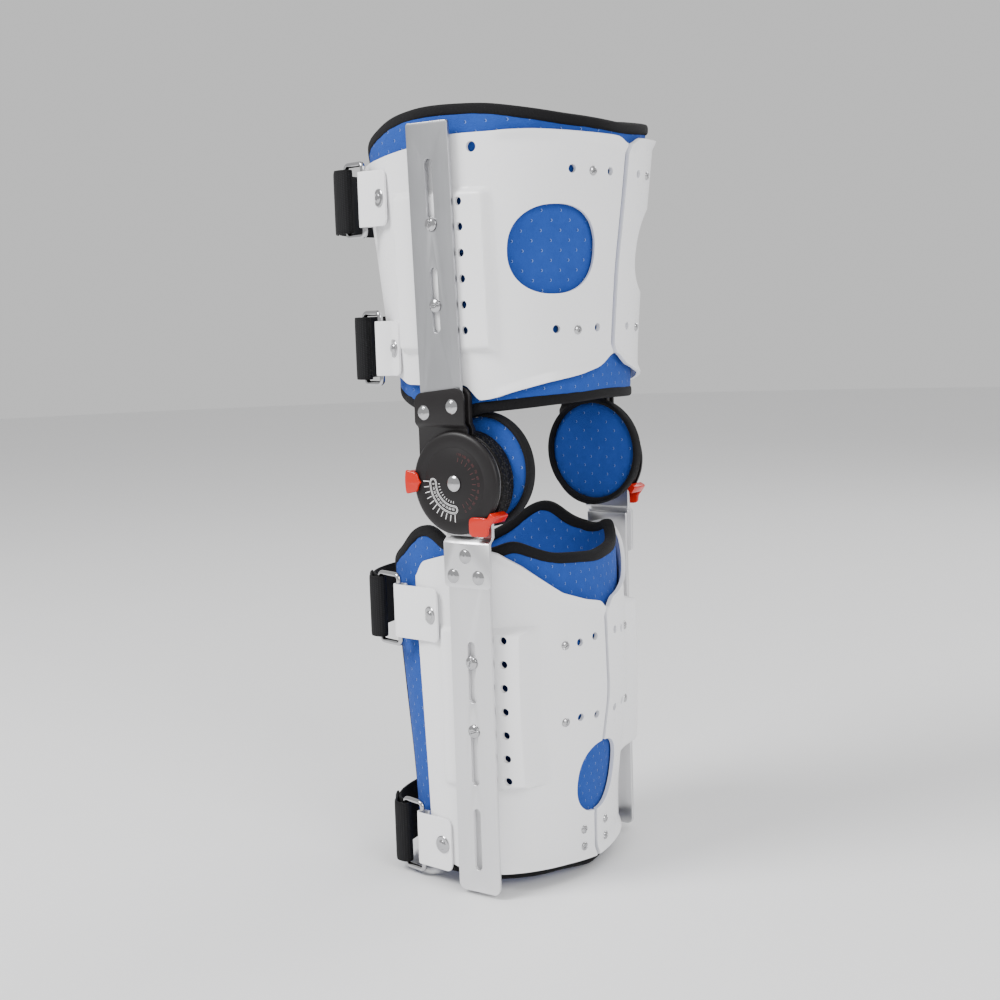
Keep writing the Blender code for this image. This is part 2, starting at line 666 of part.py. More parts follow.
def tab(name, part, side, finish, where, cutters):
    """A plastic strip from its rivet on the shell round the inner bar of the ring and a little back."""
    row = strap_row(part)
    thigh = part.startswith("thigh")
    sections = THIGH_SECTIONS if thigh else CALF_SECTIONS
    back_power = THIGH_BACK_POWER if thigh else CALF_BACK_POWER
    inner, _, forward, outward = bar_frame(row)
    lift = row["seat"] + TAB_THICK / 2
    path = []
    for height_y in (row["root_y"], row["rivet_y"]):
        highest = 0.0
        for height in (row["z"] - TAB_HALF_WIDE, row["z"] + TAB_HALF_WIDE):
            degrees = section_degrees(sections, back_power, height_y, height)
            highest = max(highest, section_point(sections, back_power, degrees, height).x)
        panel = THIGH_PANEL if thigh else CALF_PANEL
        on_panel = panel["y"][0] - PANEL_RISE < height_y and panel["z"][0] < row["z"] + TAB_HALF_WIDE
        near_panel = on_panel and row["z"] - TAB_HALF_WIDE < panel["z"][1]
        path.append((highest + lift + (PANEL_RISE if near_panel else 0.0), height_y))
    round_bar = RING_WIRE_RADIUS + FOLD_CLEAR + TAB_THICK / 2
    for turn_deg in (90, 45, 0, -45, -90):
        turn = math.radians(turn_deg)
        spot = inner + round_bar * (math.cos(turn) * forward + math.sin(turn) * outward)
        path.append((spot.x, spot.y))
    end = inner - round_bar * outward - TAB_TURN_IN * forward
    path.append((end.x, end.y))
    piece = ribbon(name, path, row["z"], TAB_HALF_WIDE, TAB_THICK, side, finish, where)
    first, second = Vector(path[0]), Vector(path[1])
    run = (second - first).normalized()
    normal = Vector((-run.y, run.x, 0))
    seat = first + run * TAB_RIVET_FROM_ROOT
    start = Vector((seat.x, seat.y, row["z"]))
    long = TAB_THICK / 2 + TAB_RIVET_HIGH
    label = f"{name}_rivet"
    head = rod(label, start, normal, long, TAB_RIVET_RADIUS, HEAD_SIDES, side, finish, cutters)
    join(piece, as_cutter(head))
    return piece


def ring(name, part, side, finish, where):
    """A rectangular wire ring with rounded corners, standing on edge beside the leg."""
    row = strap_row(part)
    inner, outer, forward, _ = bar_frame(row)
    corner = RING_CORNER
    half = (outer - inner).length / 2
    middle = (inner + outer) / 2
    outline = []
    for quarter, (along, up) in enumerate(((1, 1), (-1, 1), (-1, -1), (1, -1))):
        for turn_deg in (0, 90):
            turn = math.radians(90 * quarter + turn_deg)
            run = along * (half - corner) + corner * math.cos(turn)
            high = up * (RING_HALF_HIGH - corner) + corner * math.sin(turn)
            spot = middle + run * forward
            outline.append((side * spot.x, spot.y, row["z"] + high, 1))
    curve = bpy.data.curves.new(name, "CURVE")
    curve.dimensions = "3D"
    curve.bevel_depth = RING_WIRE_RADIUS
    curve.bevel_resolution = 1
    line = curve.splines.new("POLY")
    line.points.add(len(outline) - 1)
    for point, place in zip(line.points, outline):
        point.co = place
    line.use_cyclic_u = True
    curve.materials.append(finish)
    piece = bpy.data.objects.new(name, curve)
    where.objects.link(piece)
    return piece


def strap_run(row, share):
    """The strap's middle line from the near ring's bar (0) to the front of the leg (1)."""
    _, outer, _, outward = bar_frame(row)
    start = outer - outward * (RING_WIRE_RADIUS + FOLD_CLEAR + STRAP_THICK / 2)
    turn = share * math.pi / 2
    x = start.x * math.cos(turn) ** (2 / STRAP_POWER)
    y = start.y + (row["front_y"] - start.y) * math.sin(turn) ** (2 / STRAP_POWER)
    return Vector((x, y))


def strap(name, part, finish, where):
    """A band across the front, folded back on itself round the outer bar of the ring at each end."""
    row = strap_row(part)
    _, outer, forward, outward = bar_frame(row)
    round_bar = RING_WIRE_RADIUS + FOLD_CLEAR + STRAP_THICK / 2
    half = []
    steps = 3
    spread = 2 * round_bar
    laid = STRAP_THICK + STRAP_LAID_CLEAR
    for step in range(steps, 0, -1):
        share = step / steps
        along = share * STRAP_LAID_SHARE
        base = strap_run(row, along)
        ahead = strap_run(row, along + 0.01)
        run = (ahead - base).normalized()
        normal = Vector((-run.y, run.x))
        near_bar = min(1.0, max(0.0, 1.45 - 2.2 * share))
        half.append(base + normal * (laid + (spread - laid) * near_bar))
    for turn_deg in (90, 150, 210, 270):
        turn = math.radians(turn_deg)
        half.append(outer + round_bar * (math.cos(turn) * forward + math.sin(turn) * outward))
    for step in range(1, 7):
        half.append(strap_run(row, step / 7))
    path = [(point.x, point.y) for point in half]
    path.append((0.0, row["front_y"]))
    path += [(-x, y) for x, y in path[-2::-1]]
    return ribbon(name, path, row["z"], STRAP_HALF_WIDE, STRAP_THICK, 1, finish, where)


def riveted(plate, spots, face, side, finish, cutters):
    """Adds round rivet heads at (y, z) spots on the outer face of a plate."""
    for index, (y, z) in enumerate(spots):
        start = Vector((face - RIVET_ROOT, y, z))
        long = RIVET_ROOT + RIVET_HIGH
        label = f"{plate.name}_rivet_{index}"
        head = rod(label, start, ACROSS, long, RIVET_RADIUS, HEAD_SIDES, side, finish, cutters)
        join(plate, as_cutter(head))


def hinge(side_name, side, finishes, where, cutters):
    """The stack of one hinge, from the dial in front to the pad against the knee."""
    black, metal, steel = finishes["black_plastic"], finishes["aluminium"], finishes["steel"]
    hole = PIN_RADIUS + GAP
    washer(f"dial_{side_name}", DIAL_X, hole, HINGE_RADIUS, DIAL_EDGE, DIAL_SIDES, side, black, where)
    outline = bracket_outline(BRACKET_HEAD_RADIUS)
    label = f"hinge_bracket_{side_name}"
    bracket = jogged(label, outline, BRACKET_X, 1, BRACKET_JOG, side, black, where)
    outline = bracket_outline(HINGE_RADIUS)
    back = jogged(f"hinge_back_{side_name}", outline, HINGE_BACK_X, 1, BACK_JOG, side, black, where)
    outline = plate_outline(PLATE_HEAD_RADIUS)
    plate = jogged(f"hinge_plate_{side_name}", outline, PLATE_X, -1, PLATE_JOG, side, metal, where)
    start, label = Vector((PAD_X[0], 0, 0)), f"pin_hole_{side_name}"
    long = DIAL_X[1] - PAD_X[0]
    through = as_cutter(rod(label, start, ACROSS, long, hole, PIN_SIDES, side, steel, cutters))
    for piece in (bracket, back, plate):
        cut(piece, through)
    riveted(bracket, BRACKET_RIVETS, BRACKET_X[1] + BRACKET_JOG, side, black, cutters)
    riveted(plate, PLATE_RIVETS, PLATE_X[1] + PLATE_JOG, side, metal, cutters)
    front, rear = DIAL_X[1] + GAP, HINGE_BACK_X[0] + GAP
    profile = (
        (rear, 0.0), (rear, PIN_RADIUS), (front, PIN_RADIUS), (front, PIN_HEAD_RADIUS),
        (front + PIN_HEAD_HIGH * 0.5, PIN_HEAD_RADIUS), (front + PIN_HEAD_HIGH, PIN_HEAD_RADIUS * 0.6),
        (front + PIN_HEAD_HIGH, 0.0),
    )
    turned(f"hinge_pin_{side_name}", profile, PIN_SIDES, side, steel, where)
    inner, outer = HOOK_RING_RADII
    label, black_fabric = f"hook_ring_{side_name}", finishes["black_fabric"]
    washer(label, HOOK_RING_X, inner, outer, 0, PAD_SIDES, side, black_fabric, where)
    low, high = PAD_X
    pad_profile = (
        (low, 0.0), (low, PAD_RADIUS * 0.75), (low + 0.003, PAD_RADIUS * 0.94),
        (low + 0.0060, PAD_RADIUS), (high, PAD_RADIUS * 0.97), (high, 0.0),
    )
    pad = turned(f"condyle_pad_{side_name}", pad_profile, PAD_SIDES, side, finishes["blue_fabric"], where)
    pad.location = (0, *PAD_CENTRE)
    stop(f"extension_stop_{side_name}", EXTENSION_STOP, side, finishes["red_plastic"], where, cutters)
    stop(f"flexion_stop_{side_name}", FLEXION_STOP, side, finishes["red_plastic"], where, cutters)


def build():
    clear_scene()
    whole = collection("knee_immobilizer")
    cutters = collection("cutters")
    finishes = {name: material(name) for name in COLOURS}
    blue, metal, steel = finishes["blue_fabric"], finishes["aluminium"], finishes["steel"]
    liner("thigh_liner", THIGH_SECTIONS, THIGH_BACK_POWER, THIGH_RIM, THIGH_HEM, 0.0, blue, whole)
    round_knee = CALF_RIM_ROUND_KNEE
    liner("calf_liner", CALF_SECTIONS, CALF_BACK_POWER, CALF_RIM, CALF_HEM, round_knee, blue, whole)
    for side_name, side in SIDES.items():
        hinge(side_name, side, finishes, whole, cutters)
        for part, (path, middle_y, slots, heights) in BARS.items():
            corner = BAR_CORNERS[part]
            bar(f"{part}_bar_{side_name}", path, middle_y, corner, slots, side, metal, whole, cutters)
            for index, height in enumerate(heights):
                label = f"{part}_bar_screw_{side_name}_{index}"
                bar_screw(label, path, middle_y, height, side, steel, whole)
        for part in BARS:
            half_shell(f"{part}_shell_{side_name}", part, side, finishes["white_plastic"], whole, cutters)
        for part in STRAPS:
            tab(f"{part}_tab_{side_name}", part, side, finishes["white_plastic"], whole, cutters)
            ring(f"{part}_ring_{side_name}", part, side, steel, whole)
    for part in STRAPS:
        strap(f"{part}_strap", part, finishes["black_fabric"], whole)


build()
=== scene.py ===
"""Knee immobilizer: the dressed brace around its frame, on a pale floor in soft studio light.

Metres, +Z up, origin at the middle of the knee on the hinge axis.
+X is the near side, -Y the front of the leg.
"""

import math

import bmesh
import bpy
import numpy as np
from mathutils import Matrix, Vector


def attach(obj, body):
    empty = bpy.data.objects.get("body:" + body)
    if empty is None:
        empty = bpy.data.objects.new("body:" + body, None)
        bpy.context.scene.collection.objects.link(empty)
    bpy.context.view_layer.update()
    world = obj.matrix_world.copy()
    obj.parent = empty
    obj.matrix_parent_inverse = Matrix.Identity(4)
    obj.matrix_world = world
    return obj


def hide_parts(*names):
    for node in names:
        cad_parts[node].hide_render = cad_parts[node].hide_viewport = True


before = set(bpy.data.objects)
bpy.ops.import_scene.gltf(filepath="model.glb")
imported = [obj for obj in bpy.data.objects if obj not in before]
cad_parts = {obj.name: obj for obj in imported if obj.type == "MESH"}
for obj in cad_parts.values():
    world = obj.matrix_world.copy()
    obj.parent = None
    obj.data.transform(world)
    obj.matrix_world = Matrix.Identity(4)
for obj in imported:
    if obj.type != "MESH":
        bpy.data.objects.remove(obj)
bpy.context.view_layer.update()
SIDES = {"near": 1.0, "far": -1.0}

# Leg outline of the shells' outer face: height, half width, front depth, back depth
CENTRE_Y = -0.008
FRONT_POWER = 2.3
LEG = {
    "thigh": {
        "power": 2.3,
        "rows": np.array((
            (0.040, 0.0868, -0.0940, 0.0668),
            (0.090, 0.0884, -0.0992, 0.0685),
            (0.141, 0.0900, -0.1060, 0.0730),
            (0.192, 0.0915, -0.1138, 0.0803),
            (0.260, 0.0936, -0.1230, 0.0890),
        )),
    },
    "calf": {
        "power": 1.85,
        "rows": np.array((
            (-0.300, 0.0847, -0.0930, 0.0445),
            (-0.243, 0.0847, -0.0965, 0.0450),
            (-0.212, 0.0847, -0.0990, 0.0500),
            (-0.158, 0.0847, -0.1050, 0.0588),
            (-0.104, 0.0847, -0.1110, 0.0575),
            (-0.030, 0.0847, -0.1130, 0.0545),
        )),
    },
}
BLUR_Z = 0.009
LEG_RADIUS = 0.085

# Liners: height of rim and hem against the angle round the leg
LINER = {
    "thigh": {
        "rim": (
            (-58, 0.230), (-32, 0.240), (-21, 0.246), (-5, 0.250),
            (19, 0.248), (37, 0.244), (56, 0.240), (90, 0.236),
        ),
        "hem": (
            (-58, 0.060), (-30, 0.051), (-12, 0.045), (6, 0.0445),
            (13, 0.0472), (26, 0.0485), (54, 0.051), (90, 0.053),
        ),
        "dip": 0.0,
    },
    "calf": {
        "rim": (
            (-58, -0.066), (-34, -0.050), (-24, -0.037), (-12, -0.030),
            (20, -0.030), (42, -0.046), (58, -0.054), (90, -0.057),
        ),
        "hem": ((-58, -0.279), (-34, -0.281), (-6, -0.279), (50, -0.282), (66, -0.282), (90, -0.286)),
        "dip": 0.0492,
    },
}
LINER_END_DEG = 58
LINER_OUT = -0.0045
LINER_THICK = 0.007
PUFF_ROOM = 0.0012
BINDING_HALF_THICK = 0.0041
BINDING_HALF_WIDE = 0.0040
BINDING_INWARD = 0.0030

# Shells: height of the edges against the angle round the leg
SHELL = {
    "thigh": {
        "top": (
            (-52, 0.216), (-28, 0.220), (-10, 0.224), (5, 0.230),
            (40, 0.230), (66, 0.228), (84, 0.227), (89, 0.222),
        ),
        "bottom": (
            (-52, 0.074), (-30, 0.070), (-24, 0.0655), (10, 0.0655), (13, 0.055), (21, 0.056),
            (34, 0.061), (51, 0.066), (69, 0.070), (82, 0.075), (89, 0.084),
        ),
        "panel_y": (-0.048, 0.027), "panel_z": (0.090, 0.192),
        "holes": ((60, 0.205), (81, 0.204), (56, 0.101), (80, 0.101)),
        "screws": ((71, 0.204), (68, 0.100)),
        "side_y": 0.0093, "side_z": (0.102, 0.119, 0.136, 0.153, 0.170, 0.1865),
    },
    "calf": {
        "top": (
            (-20, -0.070), (-16, -0.058), (-5, -0.052), (10, -0.047), (19, -0.047), (27, -0.050),
            (39, -0.059), (50, -0.070), (60, -0.080), (74, -0.087), (84, -0.090), (88.3, -0.096),
        ),
        "bottom": ((-20, -0.262), (-6, -0.273), (20, -0.2755), (66, -0.277), (88.3, -0.279)),
        "panel_y": (-0.0235, 0.036), "panel_z": (-0.212, -0.104),
        "holes": ((69.2, -0.1165), (79.5, -0.1145), (69.2, -0.170), (80.5, -0.171)),
        "screws": ((60.5, -0.117), (60.3, -0.1715), (79, -0.2565), (79, -0.2690)),
        "side_y": 0.0257, "side_z": (-0.108, -0.1245, -0.141, -0.1575, -0.174, -0.1905, -0.2065),
    },
}
SHELL_THICK = 0.003
SHELL_EDGE = 0.0009
SHELL_COLUMNS = 150
SHELL_ROWS = {"under": 22, "panel": 66, "over": 26}
LIP_RISE = 0.0022
LIP_WIDTH = 0.007
PANEL_RISE = 0.0025
PANEL_BEND = 0.4
PANEL_FOOT = 0.0035
HOLE_RADIUS = 0.0028
FRONT_HOLE = (14, 0.221, 0.0035)
THIGH_WINDOW = (54, 0.1535, 0.0315, 0.0292)
CALF_WINDOW = (90, -0.2190, 0.0240, 0.0262)
WINDOW_POWER = 2.3

# Hinge stack, as distances from the middle plane of the knee
RIM_RADIUS = 0.0350
DIAL_X = (0.0923, 0.0958)
BRACKET_X = (0.0899, 0.0920)
PLATE_X = (0.0866, 0.0896)
HINGE_BACK_X = (0.0822, 0.0863)
HOOK_RING_X = (0.0745, 0.0819)
PAD_X = (0.0650, 0.0742)
PAD_RADIUS = 0.0395
PAD_CENTRE = (0.0070, 0.0075)
PAD_BINDING = (0.0043, 0.0019)
PAD_SIDES = 72
JOG = {"from": 0.0362, "to": 0.0408, "bracket": 0.0038, "back": 0.0031, "plate": 0.0042}
BRACKET_Y = (-0.0318, 0.0098)
BRACKET_TOP = (0.0610, 0.0642)
BRACKET_RIVETS = ((-0.0240, 0.0474), (-0.0002, 0.0517))
PLATE_Y = (-0.0125, 0.0255)
PLATE_BOTTOM = -0.0712
PLATE_HEAD_RADIUS = 0.0325
PLATE_RIVETS = ((0.0055, -0.0495), (-0.0050, -0.0635), (0.0160, -0.0635))
STOP_OUTER = 0.0405
STOP_THICK = 0.0024
SQUARE_POWER = 5.0

# Marks on the dial: where they start and step, the radius of each ring of marks, and their sizes
TICKS_FROM_DEG = 178
TICK_STEP_DEG = 9.2
TICK_RADIUS = 0.0237
TICK_LONG = 0.0050
TICK_SHORT = 0.0042
TICK_WIDE = 0.00055
NUMBER_RADIUS = 0.0178
NUMBER_SIZE = 0.0022
CAPSULE_HALF_WIDTHS = (0.0020, 0.0028)
CAPSULE_LINE_WIDE = 0.00016
DASH_RADIUS = 0.0128
DASH_SIZE = (0.0015, 0.0004)
FAINT_FROM_DEG = -64
FAINT_STEP_DEG = 12.8
FAINT_RADIUS = 0.0203
FAINT_SIZE = 0.0026
FAINT_DASH_RADIUS = 0.0166
FAINT_DASH_SIZE = (0.0030, 0.0004)
PRINT_THICK = 0.00004
PRINT_LIFT = 0.0001

# Clips over the dial's rim: angles of tab and bridge, or the square's middle and half sizes and its leg
EXTENSION = {"tab": (168, 192), "inner": 0.0310, "point": 0.0268, "bridge": (169, 191)}
FLEXION = {"square": (0.0206, -0.0284, 0.0078, 0.0066), "leg": (-45, -31, -39), "bridge": (-40, -31)}

# Side bars: path of (height, outer face), middle, slots and screws
BAR_HALF_WIDE = 0.0172
BAR_THICK = 0.0030
BARS = {
    "thigh": {
        "path": ((0.0415, 0.0927), (0.2390, 0.0988)), "y": -0.0110,
        "slots": ((0.1695, 0.2150), (0.1010, 0.1440)), "screws": (0.1725, 0.1190),
    },
    "calf": {
        "path": ((-0.2860, 0.0905), (-0.0415, 0.0905)), "y": 0.0055,
        "slots": ((-0.1515, -0.1090), (-0.2095, -0.1685), (-0.2700, -0.2265)), "screws": (-0.1235, -0.1715),
    },
}
SLOT_HALF_WIDE = 0.0030

# Straps: height, root, rivet, the ring's two bars, the front of the strap and the tab's lift off the outline
STRAP_COLUMNS = ("z", "root_y", "rivet_y", "inner_bar", "outer_bar", "front_y", "seat")
STRAPS = {
    "thigh_upper": (0.1935, -0.056, -0.066, (0.0806, -0.0815), (0.0762, -0.1005), -0.136, 0.0007),
    "thigh_lower": (0.0905, -0.053, -0.062, (0.0785, -0.0730), (0.0735, -0.0912), -0.117, -0.0001),
    "calf_upper": (-0.0945, -0.024, -0.034, (0.0792, -0.0650), (0.0738, -0.0865), -0.117, 0.0007),
    "calf_lower": (-0.2590, -0.020, -0.030, (0.0792, -0.0515), (0.0757, -0.0700), -0.099, 0.0007),
}
WIRE_RADIUS = 0.0019
RING_HALF_HIGH = 0.0247
RING_CORNER = 0.0030
STRAP_HALF_WIDE = 0.0220
STRAP_THICK = 0.0020
FOLD_CLEAR = 0.0008
STRAP_POWER = 2.2
LAID_SHARE = 0.46
LAID_CLEAR = 0.0005
TAB_HALF_WIDE = 0.0190
TAB_THICK = 0.0016
TAB_TURN_IN = 0.005
TAB_CORNER = 0.005
TAB_RIVET_FROM_ROOT = 0.009
TAB_RIVET_LIFT = 0.0004
WASHER_LIFT = 0.0003

FLOOR_Z = -0.2890


# Node groups

VECTOR = "NodeSocketVector"
NUMBER = "NodeSocketFloat"


def group(name, inputs, outputs):
    """An empty shader node group with named sockets, and its tree, input node and output node."""
    tree = bpy.data.node_groups.new(name, "ShaderNodeTree")
    for label, kind, value in inputs:
        made = tree.interface.new_socket(label, in_out="INPUT", socket_type=kind)
        if value is not None:
            made.default_value = value
    for label, kind in outputs:
        tree.interface.new_socket(label, in_out="OUTPUT", socket_type=kind)
    return tree, tree.nodes.new("NodeGroupInput"), tree.nodes.new("NodeGroupOutput")


class Nodes:
    """Short calls for adding and linking nodes in one tree."""

    def __init__(self, tree):
        self.tree = tree

    def add(self, kind, **inputs):
        node = self.tree.nodes.new(kind)
        for label, value in inputs.items():
            self.feed(node.inputs[label.replace("_", " ")], value)
        return node

    def feed(self, socket, value):
        if isinstance(value, bpy.types.NodeSocket):
            self.tree.links.new(value, socket)
        else:
            socket.default_value = value

    def math(self, operation, *values, clamp=False):
        node = self.tree.nodes.new("ShaderNodeMath")
        node.operation = operation
        node.use_clamp = clamp
        for socket, value in zip(node.inputs, values):
            self.feed(socket, value)
        return node.outputs[0]

    def noise(self, vector, scale, detail=2.0, roughness=0.5):
        node = self.add("ShaderNodeTexNoise", Vector=vector, Scale=scale, Detail=detail, Roughness=roughness)
        return node.outputs["Fac"]

    def ramp(self, value, low, high, out_low=0.0, out_high=1.0):
        node = self.tree.nodes.new("ShaderNodeMapRange")
        given = {"Value": value, "From Min": low, "From Max": high, "To Min": out_low, "To Max": out_high}
        for label, amount in given.items():
            self.feed(node.inputs[label], amount)
        return node.outputs["Result"]

    def mix(self, share, first, second):
        node = self.tree.nodes.new("ShaderNodeMix")
        node.data_type = "RGBA"
        for index, given in ((0, share), (6, first), (7, second)):
            self.feed(node.inputs[index], given)
        return node.outputs[2]

    def scaled(self, vector, scale):
        node = self.tree.nodes.new("ShaderNodeVectorMath")
        node.operation = "MULTIPLY"
        self.feed(node.inputs[0], vector)
        node.inputs[1].default_value = scale
        return node.outputs[0]


def grain_group():
    """Fine grain and slow mottling: noise at a fine and at a coarse scale, both about 0.5."""
    tree, given, out = group(
        "grain",
        [("Vector", VECTOR, None), ("Fine", NUMBER, 900.0), ("Coarse", NUMBER, 30.0)],
        [("Grain", NUMBER), ("Mottle", NUMBER)],
    )
    nodes = Nodes(tree)
    fine = nodes.noise(given.outputs["Vector"], given.outputs["Fine"], 3.0, 0.6)
    coarse = nodes.noise(given.outputs["Vector"], given.outputs["Coarse"], 3.0, 0.55)
    tree.links.new(fine, out.inputs["Grain"])
    tree.links.new(coarse, out.inputs["Mottle"])
    return tree


def loops_group():
    """Brushed loop cloth: cells over fibre noise, with staggered pinholes and a painted highlight, a pale
    crescent on one side of each hole's rim.
    """
    tree, given, out = group(
        "loops",
        [("Vector", VECTOR, None), ("Flat", VECTOR, None), ("Pitch", NUMBER, 0.013)],
        [("Height", NUMBER), ("Hole", NUMBER), ("Fibre", NUMBER), ("Light", NUMBER)],
    )
    nodes = Nodes(tree)
    cells = nodes.add("ShaderNodeTexVoronoi", Vector=given.outputs["Vector"], Scale=1100.0)
    fibre = nodes.noise(given.outputs["Vector"], 1500.0, 3.0, 0.7)
    slow = nodes.noise(given.outputs["Vector"], 160.0, 3.0, 0.6)
    split = nodes.add("ShaderNodeSeparateXYZ", Vector=given.outputs["Flat"])
    wander = nodes.noise(given.outputs["Flat"], 70.0, 1.0)
    down = nodes.math("DIVIDE", split.outputs["Y"], nodes.math("MULTIPLY", given.outputs["Pitch"], 0.5))
    row = nodes.math("FLOOR", down)
    shift = nodes.math("MULTIPLY", nodes.math("PINGPONG", row, 1.0), 0.5)
    across = nodes.math("ADD", nodes.math("DIVIDE", split.outputs["X"], given.outputs["Pitch"]), shift)
    middle = nodes.math("ADD", 0.40, nodes.math("MULTIPLY", wander, 0.2))
    u = nodes.math("SUBTRACT", nodes.math("FRACT", across), middle)
    v = nodes.math("MULTIPLY", nodes.math("SUBTRACT", nodes.math("FRACT", down), 0.5), 0.5)
    far = nodes.math("SQRT", nodes.math("ADD", nodes.math("MULTIPLY", u, u), nodes.math("MULTIPLY", v, v)))
    hole = nodes.ramp(far, 0.030, 0.055, 1.0, 0.0)
    # Painted highlight: a ring round each hole, lit on one side only
    ring = nodes.math("MULTIPLY", nodes.ramp(far, 0.040, 0.060), nodes.ramp(far, 0.065, 0.085, 1.0, 0.0))
    lit = nodes.math("MULTIPLY", ring, nodes.ramp(u, -0.02, 0.03, 0.0, 1.0))
    body = nodes.math("MULTIPLY", nodes.math("ADD", cells.outputs["Distance"], fibre), 0.5)
    body = nodes.math("ADD", body, nodes.math("MULTIPLY", slow, 0.35))
    height = nodes.math("SUBTRACT", body, nodes.math("MULTIPLY", hole, 0.9))
    tree.links.new(height, out.inputs["Height"])
    tree.links.new(hole, out.inputs["Hole"])
    tree.links.new(nodes.math("MULTIPLY", nodes.math("ADD", fibre, slow), 0.5), out.inputs["Fibre"])
    tree.links.new(lit, out.inputs["Light"])
    return tree


def weave_group():
    """Ribbed webbing on a map of (length, width) in metres: ribs across, a twill in step, darker edges."""
    tree, given, out = group(
        "weave",
        [("Map", VECTOR, None), ("Ribs", NUMBER, 900.0), ("Half Width", NUMBER, 0.02)],
        [("Height", NUMBER), ("Edge", NUMBER), ("Thread", NUMBER)],
    )
    nodes = Nodes(tree)
    split = nodes.add("ShaderNodeSeparateXYZ", Vector=given.outputs["Map"])
    turns = nodes.math("MULTIPLY", given.outputs["Ribs"], math.pi)
    along = nodes.math("MULTIPLY", split.outputs["X"], turns)
    wide = nodes.math("MULTIPLY", split.outputs["Y"], turns)
    ribs = nodes.math("ABSOLUTE", nodes.math("SINE", along))
    slant = nodes.math("ADD", wide, nodes.math("MULTIPLY", along, 0.5))
    twill = nodes.math("ABSOLUTE", nodes.math("SINE", slant))
    thread = nodes.math("MULTIPLY", ribs, twill)
    fuzz = nodes.noise(given.outputs["Map"], 2500.0, 2.0)
    reach = nodes.math("DIVIDE", nodes.math("ABSOLUTE", split.outputs["Y"]), given.outputs["Half Width"])
    edge = nodes.ramp(reach, 0.86, 0.93, 0.0, 1.0)
    height = nodes.math("ADD", nodes.math("MULTIPLY", thread, 0.7), nodes.math("MULTIPLY", fuzz, 0.5))
    tree.links.new(height, out.inputs["Height"])
    tree.links.new(edge, out.inputs["Edge"])
    tree.links.new(thread, out.inputs["Thread"])
    return tree


GRAIN = grain_group()
LOOPS = loops_group()
WEAVE = weave_group()


# Materials

def start_material(name, roughness, metallic=0.0, **constants):
    """A material's Principled shader with its constant sockets set, and a node helper for its tree."""
    made = bpy.data.materials.new(name)
    made.use_nodes = True
    shader = made.node_tree.nodes["Principled BSDF"]
    shader.inputs["Roughness"].default_value = roughness
    shader.inputs["Metallic"].default_value = metallic
    for label, value in constants.items():
        shader.inputs[label.replace("_", " ")].default_value = value
    return made, shader, Nodes(made.node_tree)


def placed(nodes, tree, **inputs):
    """A shared node group set into a material, its sockets fed by name."""
    node = nodes.tree.nodes.new("ShaderNodeGroup")
    node.node_tree = tree
    for label, value in inputs.items():
        nodes.feed(node.inputs[label.replace("_", " ")], value)
    return node


def bumped(nodes, shader, height, strength, distance):
    """Feeds the shader's normal from a height."""
    bump = nodes.add("ShaderNodeBump", Height=height, Strength=strength, Distance=distance)
    nodes.feed(shader.inputs["Normal"], bump.outputs["Normal"])


def solid_material(name, colour, roughness, metallic, fine, coarse, bump, spread, **constants):
    """A plain finish with grain: colour drifts by the mottle, roughness and bump follow the grain."""
    made, shader, nodes = start_material(name, roughness, metallic, **constants)
    place = nodes.add("ShaderNodeTexCoord").outputs["Object"]
    grain = placed(nodes, GRAIN, Vector=place, Fine=fine, Coarse=coarse)
    dark = tuple(part * (1 - spread) for part in colour)
    tint = nodes.mix(grain.outputs["Mottle"], (*dark, 1.0), (*colour, 1.0))
    nodes.feed(shader.inputs["Base Color"], tint)
    rough = nodes.ramp(grain.outputs["Grain"], 0.3, 0.7, roughness * 0.88, roughness * 1.12)
    nodes.feed(shader.inputs["Roughness"], rough)
    bumped(nodes, shader, grain.outputs["Grain"], bump, 0.0004)
    return made


def blue_cloth(name, wrapped):
    """Blue loop cloth; its pinholes run round the leg where it is wrapped, else across the pad's face."""
    made, shader, nodes = start_material(name, 0.95, Sheen_Weight=0.03, Specular_IOR_Level=0.2)
    place = nodes.add("ShaderNodeTexCoord").outputs["Object"]
    split = nodes.add("ShaderNodeSeparateXYZ", Vector=place)
    if wrapped:
        turn = nodes.math("ARCTAN2", nodes.math("ADD", split.outputs["Y"], 0.008), split.outputs["X"])
        across = nodes.math("MULTIPLY", turn, 0.083)
    else:
        across = split.outputs["Y"]
    flat = nodes.add("ShaderNodeCombineXYZ", X=across, Y=split.outputs["Z"])
    loops = placed(nodes, LOOPS, Vector=place, Flat=flat.outputs[0])
    tint = nodes.mix(loops.outputs["Fibre"], (0.011, 0.045, 0.235, 1), (0.026, 0.092, 0.430, 1))
    # Painted highlight: a pale crescent on one side of each pinhole's rim
    tint = nodes.mix(nodes.math("MULTIPLY", loops.outputs["Light"], 0.8), tint, (0.30, 0.42, 0.78, 1))
    # Painted shade: the pinholes darkened towards deep blue
    tint = nodes.mix(nodes.math("MULTIPLY", loops.outputs["Hole"], 0.75), tint, (0.014, 0.036, 0.14, 1))
    nodes.feed(shader.inputs["Base Color"], tint)
    bumped(nodes, shader, loops.outputs["Height"], 0.55, 0.0010)
    return made


def webbing(name, dark, light, ribs, half_width):
    """Black webbing on its own map: light threads over dark ones, and a smooth selvedge."""
    made, shader, nodes = start_material(name, 0.85, Sheen_Weight=0.02, Specular_IOR_Level=0.2)
    chart = nodes.tree.nodes.new("ShaderNodeUVMap")
    chart.uv_map = "cloth"
    weave = placed(nodes, WEAVE, Map=chart.outputs["UV"], Ribs=ribs, Half_Width=half_width)
    tint = nodes.mix(weave.outputs["Thread"], dark, light)
    tint = nodes.mix(nodes.math("MULTIPLY", weave.outputs["Edge"], 0.5), tint, dark)
    nodes.feed(shader.inputs["Base Color"], tint)
    bumped(nodes, shader, weave.outputs["Height"], 0.6, 0.0004)
    return made


